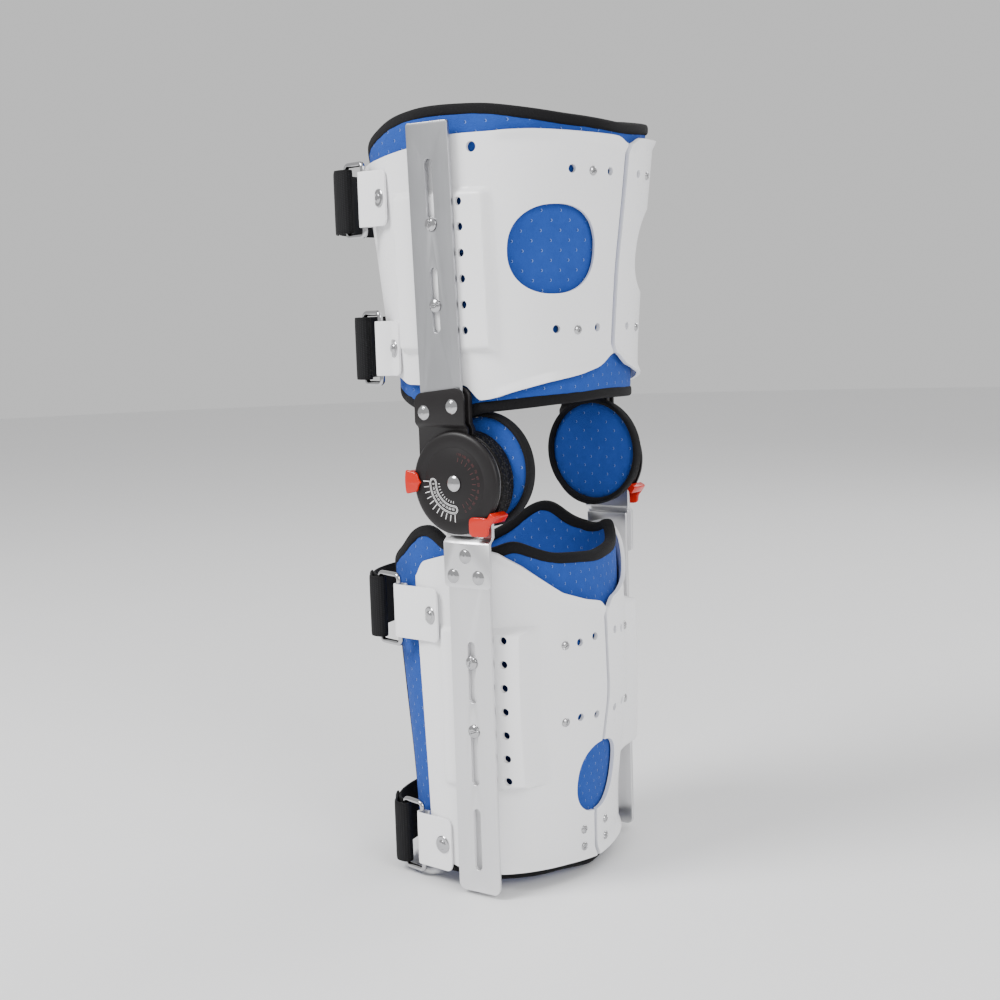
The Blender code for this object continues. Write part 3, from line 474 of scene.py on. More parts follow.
def hook_tape(name):
    """Black hook tape: a field of small round tufts, their tops painted lighter as highlights."""
    made, shader, nodes = start_material(name, 0.6, Specular_IOR_Level=0.25)
    place = nodes.add("ShaderNodeTexCoord").outputs["Object"]
    tufts = nodes.add("ShaderNodeTexVoronoi", Vector=place, Scale=560.0)
    top = nodes.ramp(tufts.outputs["Distance"], 0.12, 0.48, 1.0, 0.0)
    clumps = nodes.ramp(nodes.noise(place, 330.0, 2.0), 0.35, 0.65)
    lit = nodes.math("MULTIPLY", top, clumps)
    # Painted highlight: the tops of the tufts lighter
    tint = nodes.mix(lit, (0.003, 0.003, 0.0035, 1), (0.085, 0.080, 0.085, 1))
    nodes.feed(shader.inputs["Base Color"], tint)
    bumped(nodes, shader, top, 1.0, 0.0012)
    return made


def brushed_metal(name, dark, light, roughness):
    """Satin aluminium drawn along its length: noise squeezed along Z streaks colour, roughness and bump."""
    made, shader, nodes = start_material(name, roughness, 1.0)
    place = nodes.add("ShaderNodeTexCoord").outputs["Object"]
    grain = placed(nodes, GRAIN, Vector=nodes.scaled(place, (1, 1, 0.004)), Fine=2600.0, Coarse=420.0)
    marks = placed(nodes, GRAIN, Vector=place, Fine=160.0, Coarse=16.0)
    shade = nodes.ramp(grain.outputs["Mottle"], 0.0, 1.0, 0.35, 0.65)
    nodes.feed(shader.inputs["Base Color"], nodes.mix(shade, dark, light))
    streak = nodes.ramp(grain.outputs["Grain"], 0.3, 0.7, roughness - 0.04, roughness + 0.04)
    rough = nodes.math("ADD", streak, nodes.ramp(marks.outputs["Mottle"], 0.35, 0.65, -0.02, 0.02))
    nodes.feed(shader.inputs["Roughness"], rough)
    bumped(nodes, shader, grain.outputs["Grain"], 0.04, 0.0002)
    return made


FINISH = {
    "blue": blue_cloth("blue_loop_cloth", True),
    "blue_pad": blue_cloth("blue_pad_cloth", False),
    "binding": webbing("black_binding", (0.003, 0.003, 0.0035, 1), (0.011, 0.0105, 0.012, 1), 1100.0, 1.0),
    "strap": webbing(
        "black_webbing", (0.004, 0.004, 0.0045, 1), (0.014, 0.014, 0.0155, 1), 620.0, STRAP_HALF_WIDE,
    ),
    "hook": hook_tape("black_hook_tape"),
    "white": solid_material("white_plastic_shell", (0.90, 0.90, 0.91), 0.30, 0.0, 700.0, 22.0, 0.03, 0.02),
    "black": solid_material(
        "black_plastic_satin", (0.010, 0.0085, 0.009), 0.42, 0.0, 1400.0, 40.0, 0.10, 0.25,
        Specular_IOR_Level=0.3,
    ),
    "red": solid_material(
        "red_plastic_clip", (0.58, 0.012, 0.003), 0.18, 0.0, 900.0, 60.0, 0.05, 0.12, Specular_IOR_Level=0.4,
    ),
    "upper_bar": brushed_metal("satin_aluminium_grey", (0.40, 0.405, 0.42, 1), (0.50, 0.505, 0.52, 1), 0.38),
    "lower_bar": brushed_metal("satin_aluminium_pale", (0.70, 0.70, 0.71, 1), (0.82, 0.82, 0.83, 1), 0.34),
    "steel": solid_material("bright_steel", (0.50, 0.50, 0.51), 0.12, 1.0, 500.0, 60.0, 0.02, 0.10),
    "print": solid_material("white_print", (0.80, 0.80, 0.80), 0.5, 0.0, 900.0, 60.0, 0.02, 0.06),
    "red_print": solid_material("dull_red_print", (0.080, 0.020, 0.021), 0.5, 0.0, 900.0, 60.0, 0.02, 0.20),
    "floor": solid_material("pale_floor", (0.86, 0.86, 0.865), 0.6, 0.0, 60.0, 3.0, 0.01, 0.015),
}


# Meshes

def grid_faces(rows, columns, wrap_rows=False, wrap_columns=False):
    """Quads between neighbours of a grid of rows by columns, closed round where a way wraps."""
    i = np.arange(rows if wrap_rows else rows - 1)[:, None]
    j = np.arange(columns if wrap_columns else columns - 1)[None, :]
    i_next, j_next = (i + 1) % rows, (j + 1) % columns
    corners = (i * columns + j, i * columns + j_next, i_next * columns + j_next, i_next * columns + j)
    return np.stack(np.broadcast_arrays(*corners), -1).reshape(-1, 4)


def turn_outwards(mesh):
    """Turns the faces of a closed mesh outwards."""
    shape = bmesh.new()
    shape.from_mesh(mesh)
    bmesh.ops.recalc_face_normals(shape, faces=shape.faces)
    shape.to_mesh(mesh)
    shape.free()


def piece(name, points, faces, finish, body, replaced=(), smooth_deg=40, chart=None):
    """A mesh piece from arrays, its normals turned out, riding on a body and standing for CAD nodes."""
    mesh = bpy.data.meshes.new(name)
    faces = [list(map(int, face)) for face in faces]
    mesh.from_pydata(np.asarray(points).reshape(-1, 3).tolist(), [], faces)
    if chart is not None:
        layer = mesh.uv_layers.new(name="cloth")
        corners = np.empty(len(mesh.loops), dtype=np.int32)
        mesh.loops.foreach_get("vertex_index", corners)
        layer.data.foreach_set("uv", np.asarray(chart)[corners].astype(np.float32).ravel())
    turn_outwards(mesh)
    made = bpy.data.objects.new(name, mesh)
    bpy.context.scene.collection.objects.link(made)
    return dressed(made, finish, body, replaced, smooth_deg)


def dressed(made, finish, body, replaced=(), smooth_deg=40):
    """Gives a piece its finish and shading, sets it on its body and hides the CAD nodes that it stands for.
    """
    made.data.materials.clear()
    made.data.materials.append(FINISH[finish])
    made.data.shade_smooth()
    made.data.set_sharp_from_angle(angle=math.radians(smooth_deg))
    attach(made, body)
    if replaced:
        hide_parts(*replaced)
    return made


def applied(made):
    """The piece with its modifiers worked into its mesh."""
    bpy.context.view_layer.update()
    done = bpy.data.meshes.new_from_object(made.evaluated_get(bpy.context.evaluated_depsgraph_get()))
    made.modifiers.clear()
    made.data = done
    return made


def joined(parts):
    """Several (points, faces) as one, with the faces renumbered."""
    points, faces, start = [], [], 0
    for these, those in parts:
        these = np.asarray(these).reshape(-1, 3)
        points.append(these)
        faces += [[corner + start for corner in face] for face in those]
        start += len(these)
    return np.concatenate(points), faces


def smooth_step(value, low, high):
    """0 below low, 1 above high, 3t^2 - 2t^3 between."""
    share = np.clip((value - low) / (high - low), 0, 1)
    return share * share * (3 - 2 * share)


def table(rows, at, column=1):
    """A column of a table read between its rows at heights or angles."""
    rows = np.asarray(rows)
    return np.interp(at, rows[:, 0], rows[:, column])


def leg_point(part, degrees, height, offset=0.0):
    """Superellipse |x/a|^p + |y/b|^p = 1 at each height, a and b the table's depths, averaged a little."""
    rows = LEG[part]["rows"]
    side, front, back = (
        sum(table(rows, height + share * BLUR_Z, column) for share in (-1, -0.5, 0, 0.5, 1)) / 5
        for column in (1, 2, 3)
    )
    turn = np.radians(degrees)
    across, along = np.cos(turn), np.sin(turn)
    power = np.where(along > 0, LEG[part]["power"], FRONT_POWER)
    reach = np.where(along > 0, back + offset, front - offset) - CENTRE_Y
    x = (side + offset) * np.sign(across) * np.abs(across) ** (2 / power)
    y = CENTRE_Y + reach * np.abs(along) ** (2 / power)
    return np.stack(np.broadcast_arrays(x, y, height), -1)


def leg_normal(part, degrees, height):
    """Level normal of the outline: its tangent turned a quarter."""
    run = leg_point(part, degrees + 0.4, height) - leg_point(part, degrees - 0.4, height)
    run /= np.linalg.norm(run, axis=-1, keepdims=True)
    return np.stack((run[..., 1], -run[..., 0], np.zeros_like(run[..., 0])), -1)


def leg_degrees(part, y, height):
    """The angle whose point of the near outline lies at y."""
    angles = np.linspace(-89, 89, 1781)
    return float(np.interp(y, leg_point(part, angles, np.full_like(angles, height))[:, 1], angles))


def half(degrees):
    """Angles of the far half read the tables of the near half."""
    return np.where(degrees > 90, 180 - degrees, degrees)


def blurred(values, width):
    """A running mean over an odd number of neighbours, its ends held."""
    padded = np.pad(values, (width // 2, width // 2), mode="edge")
    return np.convolve(padded, np.ones(width) / width, mode="valid")


def swept(path, sideways, outward, profile, closed=False):
    """A profile of offsets (a, b) carried along a path: point = path + a*sideways + b*outward."""
    a, b = profile[:, 0], profile[:, 1]
    points = path[:, None] + a[None, :, None] * sideways[:, None] + b[None, :, None] * outward[:, None]
    faces = grid_faces(len(path), len(profile), closed, True).tolist()
    if not closed:
        count = len(profile)
        faces.append(list(range(count)))
        faces.append(list(range((len(path) - 1) * count, len(path) * count)))
    return points.reshape(-1, 3), faces


def rounded(half_wide, half_high, power, count):
    """A superellipse profile of so many points."""
    turn = np.linspace(0, 2 * np.pi, count, endpoint=False)
    a = half_wide * np.sign(np.cos(turn)) * np.abs(np.cos(turn)) ** (2 / power)
    b = half_high * np.sign(np.sin(turn)) * np.abs(np.sin(turn)) ** (2 / power)
    return np.stack((a, b), -1)


def lengths(path):
    """How far along the path each of its points lies."""
    return np.concatenate(([0], np.cumsum(np.linalg.norm(np.diff(path, axis=0), axis=1))))


def strip_chart(length, profile):
    """A map of (length, width) for a profile carried along a path."""
    return np.stack(np.broadcast_arrays(length[:, None], profile[None, :, 0]), -1).reshape(-1, 2)


def resampled(path, spacing, closed=False):
    """The path with points at even steps of its length."""
    line = np.concatenate((path, path[:1])) if closed else path
    length = lengths(line)
    count = max(3, int(round(length[-1] / spacing)) + 1)
    marks = np.linspace(0, length[-1], count)
    made = np.stack([np.interp(marks, length, line[:, axis]) for axis in range(line.shape[1])], -1)
    return made[:-1] if closed else made


def softened(path, rounds, closed):
    """Each point moved to the weighted mean (1, 2, 1)/4 of itself and its neighbours, so many times."""
    for _ in range(rounds):
        before, after = np.roll(path, 1, 0), np.roll(path, -1, 0)
        if not closed:
            before[0], after[-1] = path[0], path[-1]
        path = (before + 2 * path + after) / 4
    return path


def tangents(path, closed):
    """Unit directions along a path, from each point's neighbours."""
    if closed:
        run = np.roll(path, -1, 0) - np.roll(path, 1, 0)
    else:
        run = np.gradient(path, axis=0)
    return run / np.linalg.norm(run, axis=1, keepdims=True)


# Shells

def shell_surface(part):
    """Outer face of a near half shell over (angle, height), with its flat raised panel and flared lips."""
    facts = SHELL[part]
    columns = np.linspace(facts["top"][0][0], facts["top"][-1][0], SHELL_COLUMNS)
    low = blurred(table(facts["bottom"], columns), 7)
    high = blurred(table(facts["top"], columns), 5)
    y_low, y_high = facts["panel_y"]
    z_low, z_high = facts["panel_z"]
    under, over = z_low - PANEL_FOOT, z_high + PANEL_FOOT
    foot = np.linspace(0, 1, SHELL_ROWS["under"])[:, None]
    top = np.linspace(0, 1, SHELL_ROWS["over"])[:, None]
    level = np.linspace(under, over, SHELL_ROWS["panel"])[1:-1, None] + 0 * columns
    height = np.concatenate((low + foot * (under - low), level, over + top * (high - over)))
    degrees = np.broadcast_to(columns, height.shape)
    points = leg_point(part, degrees, height)
    edge = np.minimum(height - low, high - height)
    lip = LIP_RISE * (1 - smooth_step(edge, 0, LIP_WIDTH)) * smooth_step(degrees, 20, 28)
    points += lip[..., None] * leg_normal(part, degrees, height)
    inside_y = np.minimum(points[..., 1] - y_low, y_high - points[..., 1])
    inside_z = np.minimum(height - z_low, z_high - height)
    mask = smooth_step(inside_y, -PANEL_FOOT, 0.0020) * smooth_step(inside_z, -PANEL_FOOT, 0.0010)
    flat = table(LEG[part]["rows"], height) + PANEL_RISE
    normal = leg_normal(part, degrees, height)
    lifted = points + PANEL_RISE * normal
    raised_x = flat - PANEL_BEND * (flat - lifted[..., 0])
    points += mask[..., None] * PANEL_RISE * normal
    points[..., 0] += mask * (raised_x - lifted[..., 0])
    points[..., 0] = np.minimum(points[..., 0], flat)
    return points


def cutter(name, points, faces):
    """A solid to cut with, removed again after the cut."""
    mesh = bpy.data.meshes.new(name)
    mesh.from_pydata(points.tolist(), [], faces)
    turn_outwards(mesh)
    made = bpy.data.objects.new(name, mesh)
    bpy.context.scene.collection.objects.link(made)
    return made


def prism(centre, normal, wide, high, power, count, reach_in, reach_out):
    """A superellipse of half sizes wide and high pushed along a normal."""
    normal = normal / np.linalg.norm(normal)
    across = np.array((-normal[1], normal[0], 0.0))
    up = np.cross(normal, across)
    path = centre + np.array((-reach_in, reach_out))[:, None] * normal
    return swept(path, np.tile(across, (2, 1)), np.tile(up, (2, 1)), rounded(wide, high, power, count))


def shell(part, side_name, side):
    """One half shell: the surface given its wall, edges rounded, then its window and holes cut."""
    facts = SHELL[part]
    points = shell_surface(part) * (side, 1, 1)
    rows, columns = points.shape[:2]
    faces = grid_faces(rows, columns)
    if side < 0:
        faces = faces[:, ::-1]
    mesh = bpy.data.meshes.new(f"{part}_shell_wall")
    mesh.from_pydata(points.reshape(-1, 3).tolist(), [], faces.tolist())
    made = bpy.data.objects.new(f"{part}_shell_{side_name}_dressed", mesh)
    bpy.context.scene.collection.objects.link(made)
    wall = made.modifiers.new("wall", "SOLIDIFY")
    wall.thickness = SHELL_THICK
    wall.offset = -1
    wall.use_even_offset = True
    edge = made.modifiers.new("edge", "BEVEL")
    edge.width = SHELL_EDGE
    edge.segments = 3
    edge.limit_method = "ANGLE"
    edge.angle_limit = math.radians(60)
    spots = []
    for degrees, z in map(np.float64, facts["holes"]):
        spots.append((leg_point(part, degrees, z), leg_normal(part, degrees, z), HOLE_RADIUS))
    for z in facts["side_z"]:
        degrees = leg_degrees(part, facts["side_y"], z)
        spots.append((leg_point(part, degrees, z), np.array((1.0, 0, 0)), HOLE_RADIUS))
    if part == "thigh":
        degrees, z, radius = FRONT_HOLE
        spots.append((leg_point(part, degrees, z), leg_normal(part, degrees, z), radius))
    parts = [prism(centre, normal, radius, radius, 2, 20, 0.008, 0.016) for centre, normal, radius in spots]
    degrees, z, wide, high = THIGH_WINDOW if part == "thigh" else CALF_WINDOW
    centre, normal = leg_point(part, degrees, z), leg_normal(part, degrees, z)
    parts.append(prism(centre, normal, wide, high, WINDOW_POWER, 72, 0.02, 0.03))
    bits, faces = joined(parts)
    tool = cutter(f"{part}_shell_{side_name}_cutter", bits * (side, 1, 1), faces)
    bite = made.modifiers.new("cut", "BOOLEAN")
    bite.operation = "DIFFERENCE"
    bite.solver = "EXACT"
    bite.object = tool
    applied(made)
    bpy.data.objects.remove(tool, do_unlink=True)
    dressed(made, "white", part, [f"{part}_shell_{side_name}"], 35)


# Heads of screws and rivets

def disc(radius_heights, count, slot_wide=0.0, slot_deep=0.0, foot=0.0):
    """A turned head over its own axis: rings of (radius, height), a slot sunk across it, and a flat foot."""
    steps = zip(radius_heights, radius_heights[1:])
    radii = np.concatenate([np.linspace(a[0], b[0], 6, endpoint=False) for a, b in steps])
    radii = np.append(radii, radius_heights[-1][0])
    heights = np.interp(radii, *np.array(radius_heights).T)
    turn = np.linspace(0, 2 * np.pi, count, endpoint=False)
    x, y = radii[:, None] * np.cos(turn), radii[:, None] * np.sin(turn)
    z = np.broadcast_to(heights[:, None], x.shape).copy()
    if slot_wide:
        z -= slot_deep * (1 - smooth_step(np.abs(y), slot_wide * 0.75, slot_wide * 1.25))
    points = np.stack((x, y, z), -1)
    outer = points[-1] * (1, 1, 0) + (0, 0, foot)
    points = np.concatenate((points, outer[None]))
    faces = grid_faces(len(points), count, False, True).tolist()
    faces.append(list(range(count)))
    faces.append(list(range((len(points) - 1) * count, len(points) * count)))
    return points.reshape(-1, 3), faces


def seated(head, centre, normal, turn_deg, side):
    """A head moved so that its axis lies along the normal, with its slot turned."""
    points, faces = head
    normal = np.asarray(normal, float)
    normal = normal / np.linalg.norm(normal)
    level = np.cross((0, 0, 1.0), normal)
    level /= np.linalg.norm(level)
    up = np.cross(normal, level)
    turn = math.radians(turn_deg)
    first = math.cos(turn) * level + math.sin(turn) * up
    second = -math.sin(turn) * level + math.cos(turn) * up
    moved = np.asarray(centre) + points @ np.stack((first, second, normal))
    return moved * (side, 1, 1), faces


PAN_HEAD = disc(
    ((0.0, 0.0021), (0.0022, 0.0019), (0.0038, 0.0013), (0.0046, 0.0006), (0.00465, 0.0003)),
    40, 0.0006, 0.0010, 0.0003,
)
SMALL_SCREW = disc(
    ((0.0, 0.0017), (0.0018, 0.0015), (0.0027, 0.0010), (0.0032, 0.0003)), 36, 0.0005, 0.0008, -0.0006,
)
RIVET = disc(((0.0, 0.0018), (0.0024, 0.0016), (0.0040, 0.0010), (0.0050, 0.0001)), 40, 0, 0, -0.0006)
TAB_RIVET = disc(((0.0, 0.0014), (0.0018, 0.0013), (0.0030, 0.0008), (0.0036, 0.0001)), 36, 0, 0, -0.0006)
WASHER = disc(((0.0, 0.0006), (0.0058, 0.0006), (0.0063, 0.0002)), 40, 0, 0, -0.0003)


# Plates, by flat outlines

def arc(centre, radius, start_deg, end_deg, steps):
    """Points of a circle about a centre, angles from +Y towards +Z."""
    turn = np.radians(np.linspace(start_deg, end_deg, steps + 1))
    return np.stack((centre[0] + radius * np.cos(turn), centre[1] + radius * np.sin(turn)), -1)


def plate(name, outlines, x_range, edge, side, finish, body, slot, replaced, jog=None):
    """Outlines of (y, z), first the rim and then openings, given a thickness along X and rounded edges.

    Beyond the hinge's rim the plate steps outwards: x grows by the jog times the share of height passed.
    """
    low, high = x_range
    curve = bpy.data.curves.new(name, "CURVE")
    curve.dimensions = "2D"
    curve.fill_mode = "BOTH"
    curve.extrude = (high - low) / 2 - edge
    curve.bevel_depth = edge
    curve.bevel_resolution = 2
    curve.offset = -edge
    for outline in outlines:
        line = curve.splines.new("POLY")
        line.points.add(len(outline) - 1)
        line.points.foreach_set("co", np.pad(outline, ((0, 0), (0, 2))).astype(np.float32).ravel())
        line.use_cyclic_u = True
    flat = bpy.data.objects.new(f"{name}_outline", curve)
    bpy.context.scene.collection.objects.link(flat)
    bpy.context.view_layer.update()
    mesh = bpy.data.meshes.new_from_object(flat.evaluated_get(bpy.context.evaluated_depsgraph_get()))
    bpy.data.objects.remove(flat, do_unlink=True)
    shape = bmesh.new()
    shape.from_mesh(mesh)
    bmesh.ops.remove_doubles(shape, verts=shape.verts, dist=1e-6)
    if jog:
        way, rise = jog
        for height in np.linspace(JOG["from"], JOG["to"], 4):
            every = shape.verts[:] + shape.edges[:] + shape.faces[:]
            at = (0, way * height, 0)
            bmesh.ops.bisect_plane(shape, geom=every, dist=1e-7, plane_co=at, plane_no=(0, 1, 0))
    bmesh.ops.recalc_face_normals(shape, faces=shape.faces)
    shape.to_mesh(mesh)
    shape.free()
    points = np.empty(len(mesh.vertices) * 3, dtype=np.float32)
    mesh.vertices.foreach_get("co", points)
    y, z, thick = points.reshape(-1, 3).T
    x = (low + high) / 2 + thick
    if jog:
        x = x + rise * smooth_step(way * z, JOG["from"], JOG["to"])
    mesh.vertices.foreach_set("co", np.stack((side * x, y, z), -1).astype(np.float32).ravel())
    if side < 0:
        mesh.flip_normals()
    mesh.update()
    made = bpy.data.objects.new(name, mesh)
    bpy.context.scene.collection.objects.link(made)
    return dressed(made, finish, body, replaced, 35)


def turned(name, profile, count, side, finish, body, replaced=(), middle=(0.0, 0.0)):
    """A closed profile of (x, radius) turned about the hinge axis through the middle (y, z)."""
    profile = np.asarray(profile)
    turn = np.linspace(0, 2 * np.pi, count, endpoint=False)
    x = np.broadcast_to(profile[:, :1], (len(profile), count))
    y = middle[0] + profile[:, 1:] * np.cos(turn)
    z = middle[1] + profile[:, 1:] * np.sin(turn)
    points = np.stack((side * x, y, z), -1)
    faces = grid_faces(len(profile), count, True, True)
    piece(name, points, faces, finish, body, replaced, 35)


def bracket_outline(radius):
    """A round head with a square-shouldered neck above it."""
    y_low, y_high = BRACKET_Y
    corner = 0.007
    right = math.degrees(math.acos(y_high / radius))
    left = 180 - math.degrees(math.acos(-y_low / radius))
    return np.concatenate((
        arc((0, 0), radius, left, 360 + right, 80),
        arc((y_high - corner, BRACKET_TOP[1] - corner), corner, 0, 90, 12),
        arc((y_low + corner, BRACKET_TOP[0] - corner), corner, 90, 180, 12),
    ))


def foot_outline(radius):
    """The round head of the lower plate with a broad foot below it."""
    y_low, y_high = PLATE_Y
    corner = 0.003
    right = math.degrees(math.acos(y_high / radius))
    left = 180 + math.degrees(math.acos(-y_low / radius))
    return np.concatenate((
        arc((0, 0), radius, -right, left, 72),
        arc((y_low + corner, PLATE_BOTTOM + corner), corner, 180, 270, 8),
        arc((y_high - corner, PLATE_BOTTOM + corner), corner, 270, 360, 8),
    ))


def pin_hole():
    """A small round hole for the pin. It ends short of its start, because an outline closes itself."""
    return arc((0, 0), 0.0025, 0, 345, 23)


# Straps, rings and tabs

def strap_row(name):
    """A strap's row of the table by its columns' names."""
    return dict(zip(STRAP_COLUMNS, STRAPS[name]))


def bar_frame(row):
    """The direction forward along the ring, and the one away from the leg."""
    inner, outer = np.array(row["inner_bar"]), np.array(row["outer_bar"])
    forward = (outer - inner) / np.linalg.norm(outer - inner)
    return inner, outer, forward, np.array((-forward[1], forward[0]))


def band(name, path, middle_z, half_wide, thick, finish, body, replaced, power=8.0, corner=0.0):
    """A flat band upright across its width through (x, y) points, mapped by length and width.

    A corner radius rounds the end that the path starts with: at the share s of the radius from that end,
    the width is 1 - (1 - sqrt(1 - (1 - s)^2)) * corner / half width.
    """
    run = tangents(path, False)
    length = lengths(path)
    place = np.column_stack((path, np.full(len(path), middle_z)))
    up = np.tile((0.0, 0.0, 1.0), (len(path), 1))
    out = np.column_stack((-run[:, 1], run[:, 0], np.zeros(len(path))))
    profile = rounded(half_wide, thick / 2, power, 32)
    points, faces = swept(place, up, out, profile)
    if corner:
        away = 1 - np.clip(length / corner, 0, 1)
        pinch = 1 - (1 - np.sqrt(1 - away ** 2)) * corner / half_wide
        grid = points.reshape(len(path), len(profile), 3)
        grid[..., 2] = middle_z + (grid[..., 2] - middle_z) * pinch[:, None]
        points = grid.reshape(-1, 3)
    chart = strip_chart(length, profile)
    return piece(name, points, faces, finish, body, replaced, 50, chart)


def strap_run(row, share):
    """The strap's middle line from the near ring's bar (0) to the front of the leg (1)."""
    _, outer, _, outward = bar_frame(row)
    start = outer - outward * (WIRE_RADIUS + FOLD_CLEAR + STRAP_THICK / 2)
    turn = np.asarray(share)[:, None] * np.pi / 2
    x = start[0] * np.abs(np.cos(turn)) ** (2 / STRAP_POWER)
    y = start[1] + (row["front_y"] - start[1]) * np.abs(np.sin(turn)) ** (2 / STRAP_POWER)
    return np.concatenate((x, y), 1)


def strap(name, body):
    """A band across the front, folded back on itself round the outer bar of the ring at each end."""
    row = strap_row(name)
    _, outer, forward, outward = bar_frame(row)
    round_bar = WIRE_RADIUS + FOLD_CLEAR + STRAP_THICK / 2
    laid = STRAP_THICK + LAID_CLEAR
    share = np.linspace(1, 0.12, 24)
    base = strap_run(row, share * LAID_SHARE)
    run = tangents(strap_run(row, share[::-1] * LAID_SHARE), False)[::-1]
    normal = np.stack((-run[:, 1], run[:, 0]), -1)
    lift = laid + (2 * round_bar - laid) * smooth_step(0.55 - share, 0.0, 0.40)
    back = base + normal * lift[:, None]
    turn = np.radians(np.linspace(90, 270, 17))[:, None]
    fold = outer + round_bar * (np.cos(turn) * forward + np.sin(turn) * outward)
    front = strap_run(row, np.linspace(0.03, 1, 60))
    near = softened(resampled(np.concatenate((back, fold, front)), 0.0009), 6, False)
    near[-1] = (0.0, row["front_y"])
    path = np.concatenate((near, near[-2::-1] * (-1, 1)))
    band(
        f"{name}_strap_dressed", path, row["z"], STRAP_HALF_WIDE, STRAP_THICK, "strap", body,
        [f"{name}_strap"], 8.0,
    )


def ring(name, side_name, side, body):
    """A rectangular wire ring with rounded corners, a circle carried along its outline."""
    row = strap_row(name)
    inner, outer, forward, _ = bar_frame(row)
    reach = np.linalg.norm(outer - inner) / 2
    middle = (inner + outer) / 2
    quarters = []
    for index, (along, up) in enumerate(((1, 1), (-1, 1), (-1, -1), (1, -1))):
        centre = (along * (reach - RING_CORNER), up * (RING_HALF_HIGH - RING_CORNER))
        quarters.append(arc(centre, RING_CORNER, 90 * index, 90 * index + 90, 10))
    flat = resampled(np.concatenate(quarters), 0.0011, True)
    path = np.column_stack((middle + flat[:, :1] * forward, row["z"] + flat[:, 1]))
    run = tangents(path, True)
    away = np.tile(np.array((-forward[1], forward[0], 0.0)), (len(path), 1))
    points, faces = swept(path, away, np.cross(run, away), rounded(WIRE_RADIUS, WIRE_RADIUS, 2, 16), True)
    piece(
        f"{name}_ring_{side_name}_dressed", points * (side, 1, 1), faces, "steel", body,
        [f"{name}_ring_{side_name}"],
    )


def tab(name, side_name, side, body):
    """A plastic strip from its rivet on the shell round the inner bar of the ring and a little back."""
    row = strap_row(name)
    inner, _, forward, outward = bar_frame(row)
    lift = row["seat"] + TAB_THICK / 2
    start = []
    facts = SHELL[body]
    low, high = row["z"] - TAB_HALF_WIDE, row["z"] + TAB_HALF_WIDE
    beside = facts["panel_z"][0] < high and low < facts["panel_z"][1]
    for y in (row["root_y"], row["rivet_y"]):
        faces_x = [leg_point(body, leg_degrees(body, y, z), z)[0] for z in (low, high)]
        raised = PANEL_RISE if beside and y > facts["panel_y"][0] - PANEL_RISE else 0.0
        start.append((max(faces_x) + lift + raised, y))
    round_bar = WIRE_RADIUS + FOLD_CLEAR + TAB_THICK / 2
    turn = np.radians(np.linspace(90, -90, 15))[:, None]
    fold = inner + round_bar * (np.cos(turn) * forward + np.sin(turn) * outward)
    end = inner - round_bar * outward - TAB_TURN_IN * forward
    path = softened(resampled(np.concatenate((np.array(start), fold, end[None])), 0.0010), 5, False)
    node = f"{name}_tab_{side_name}"
    band(
        f"{node}_dressed", path * (side, 1), row["z"], TAB_HALF_WIDE, TAB_THICK, "white", body,
        [node], 10.0, TAB_CORNER,
    )
    first, second = np.array(start)
    run = (second - first) / np.linalg.norm(second - first)
    normal = np.array((-run[1], run[0], 0.0))
    seat = first + run * TAB_RIVET_FROM_ROOT
    centre = np.array((seat[0], seat[1], row["z"])) + normal * (TAB_THICK / 2 + WASHER_LIFT)
    washer = seated(WASHER, centre, normal, 0, side)
    return joined([washer, seated(TAB_RIVET, centre + normal * TAB_RIVET_LIFT, normal, 0, side)])


# Padded pieces

def puffed(made, voxel, pressure, cap):
    """Swells a closed pad: remeshed, blown up as cloth for twenty frames, its travel capped, subdivided.

    A point that the cloth moved by d goes d * cap * tanh(|d| / cap) / |d|, so never further than the cap.
    """
    remesh = made.modifiers.new("voxels", "REMESH")
    remesh.mode = "VOXEL"
    remesh.voxel_size = voxel
    applied(made)
    count = len(made.data.vertices)
    start = np.empty(count * 3)
    made.data.vertices.foreach_get("co", start)
    start = start.reshape(-1, 3)
    cloth = made.modifiers.new("cloth", "CLOTH")
    cloth.settings.use_pressure = True
    cloth.settings.uniform_pressure_force = pressure
    cloth.settings.effector_weights.gravity = 0
    cloth.settings.quality = 4
    cloth.settings.tension_stiffness = 12
    cloth.settings.compression_stiffness = 12
    cloth.settings.bending_stiffness = 0.4
    cloth.collision_settings.use_collision = False
    scene = bpy.context.scene
    for number in range(1, 21):
        scene.frame_set(number)
    end = np.empty(count * 3)
    bpy.context.view_layer.update()
    made.evaluated_get(bpy.context.evaluated_depsgraph_get()).data.vertices.foreach_get("co", end)
    made.modifiers.clear()
    scene.frame_set(1)
    move = end.reshape(-1, 3) - start
    size = np.linalg.norm(move, axis=1, keepdims=True)
    start = start + move * (cap * np.tanh(size / cap) / np.maximum(size, 1e-9))
    made.data.vertices.foreach_set("co", start.ravel())
    finer = made.modifiers.new("finer", "SUBSURF")
    finer.levels = 1
    finer.render_levels = 1
    return applied(made)


def liner_edges(part, degrees):
    """Low and high edge of a liner against the angle, the rim dipping round the knee pads."""
    facts = LINER[part]
    near = half(degrees)
    low = table(facts["hem"], near)
    high = table(facts["rim"], near)
    if facts["dip"]:
        y = leg_point(part, near, high, LINER_OUT)[..., 1]
        room = np.sqrt(np.clip(facts["dip"] ** 2 - y ** 2, 0, None))
        high = np.where(np.abs(y) < facts["dip"], np.minimum(high, -room), high)
    return blurred(low, 9), blurred(high, 9)


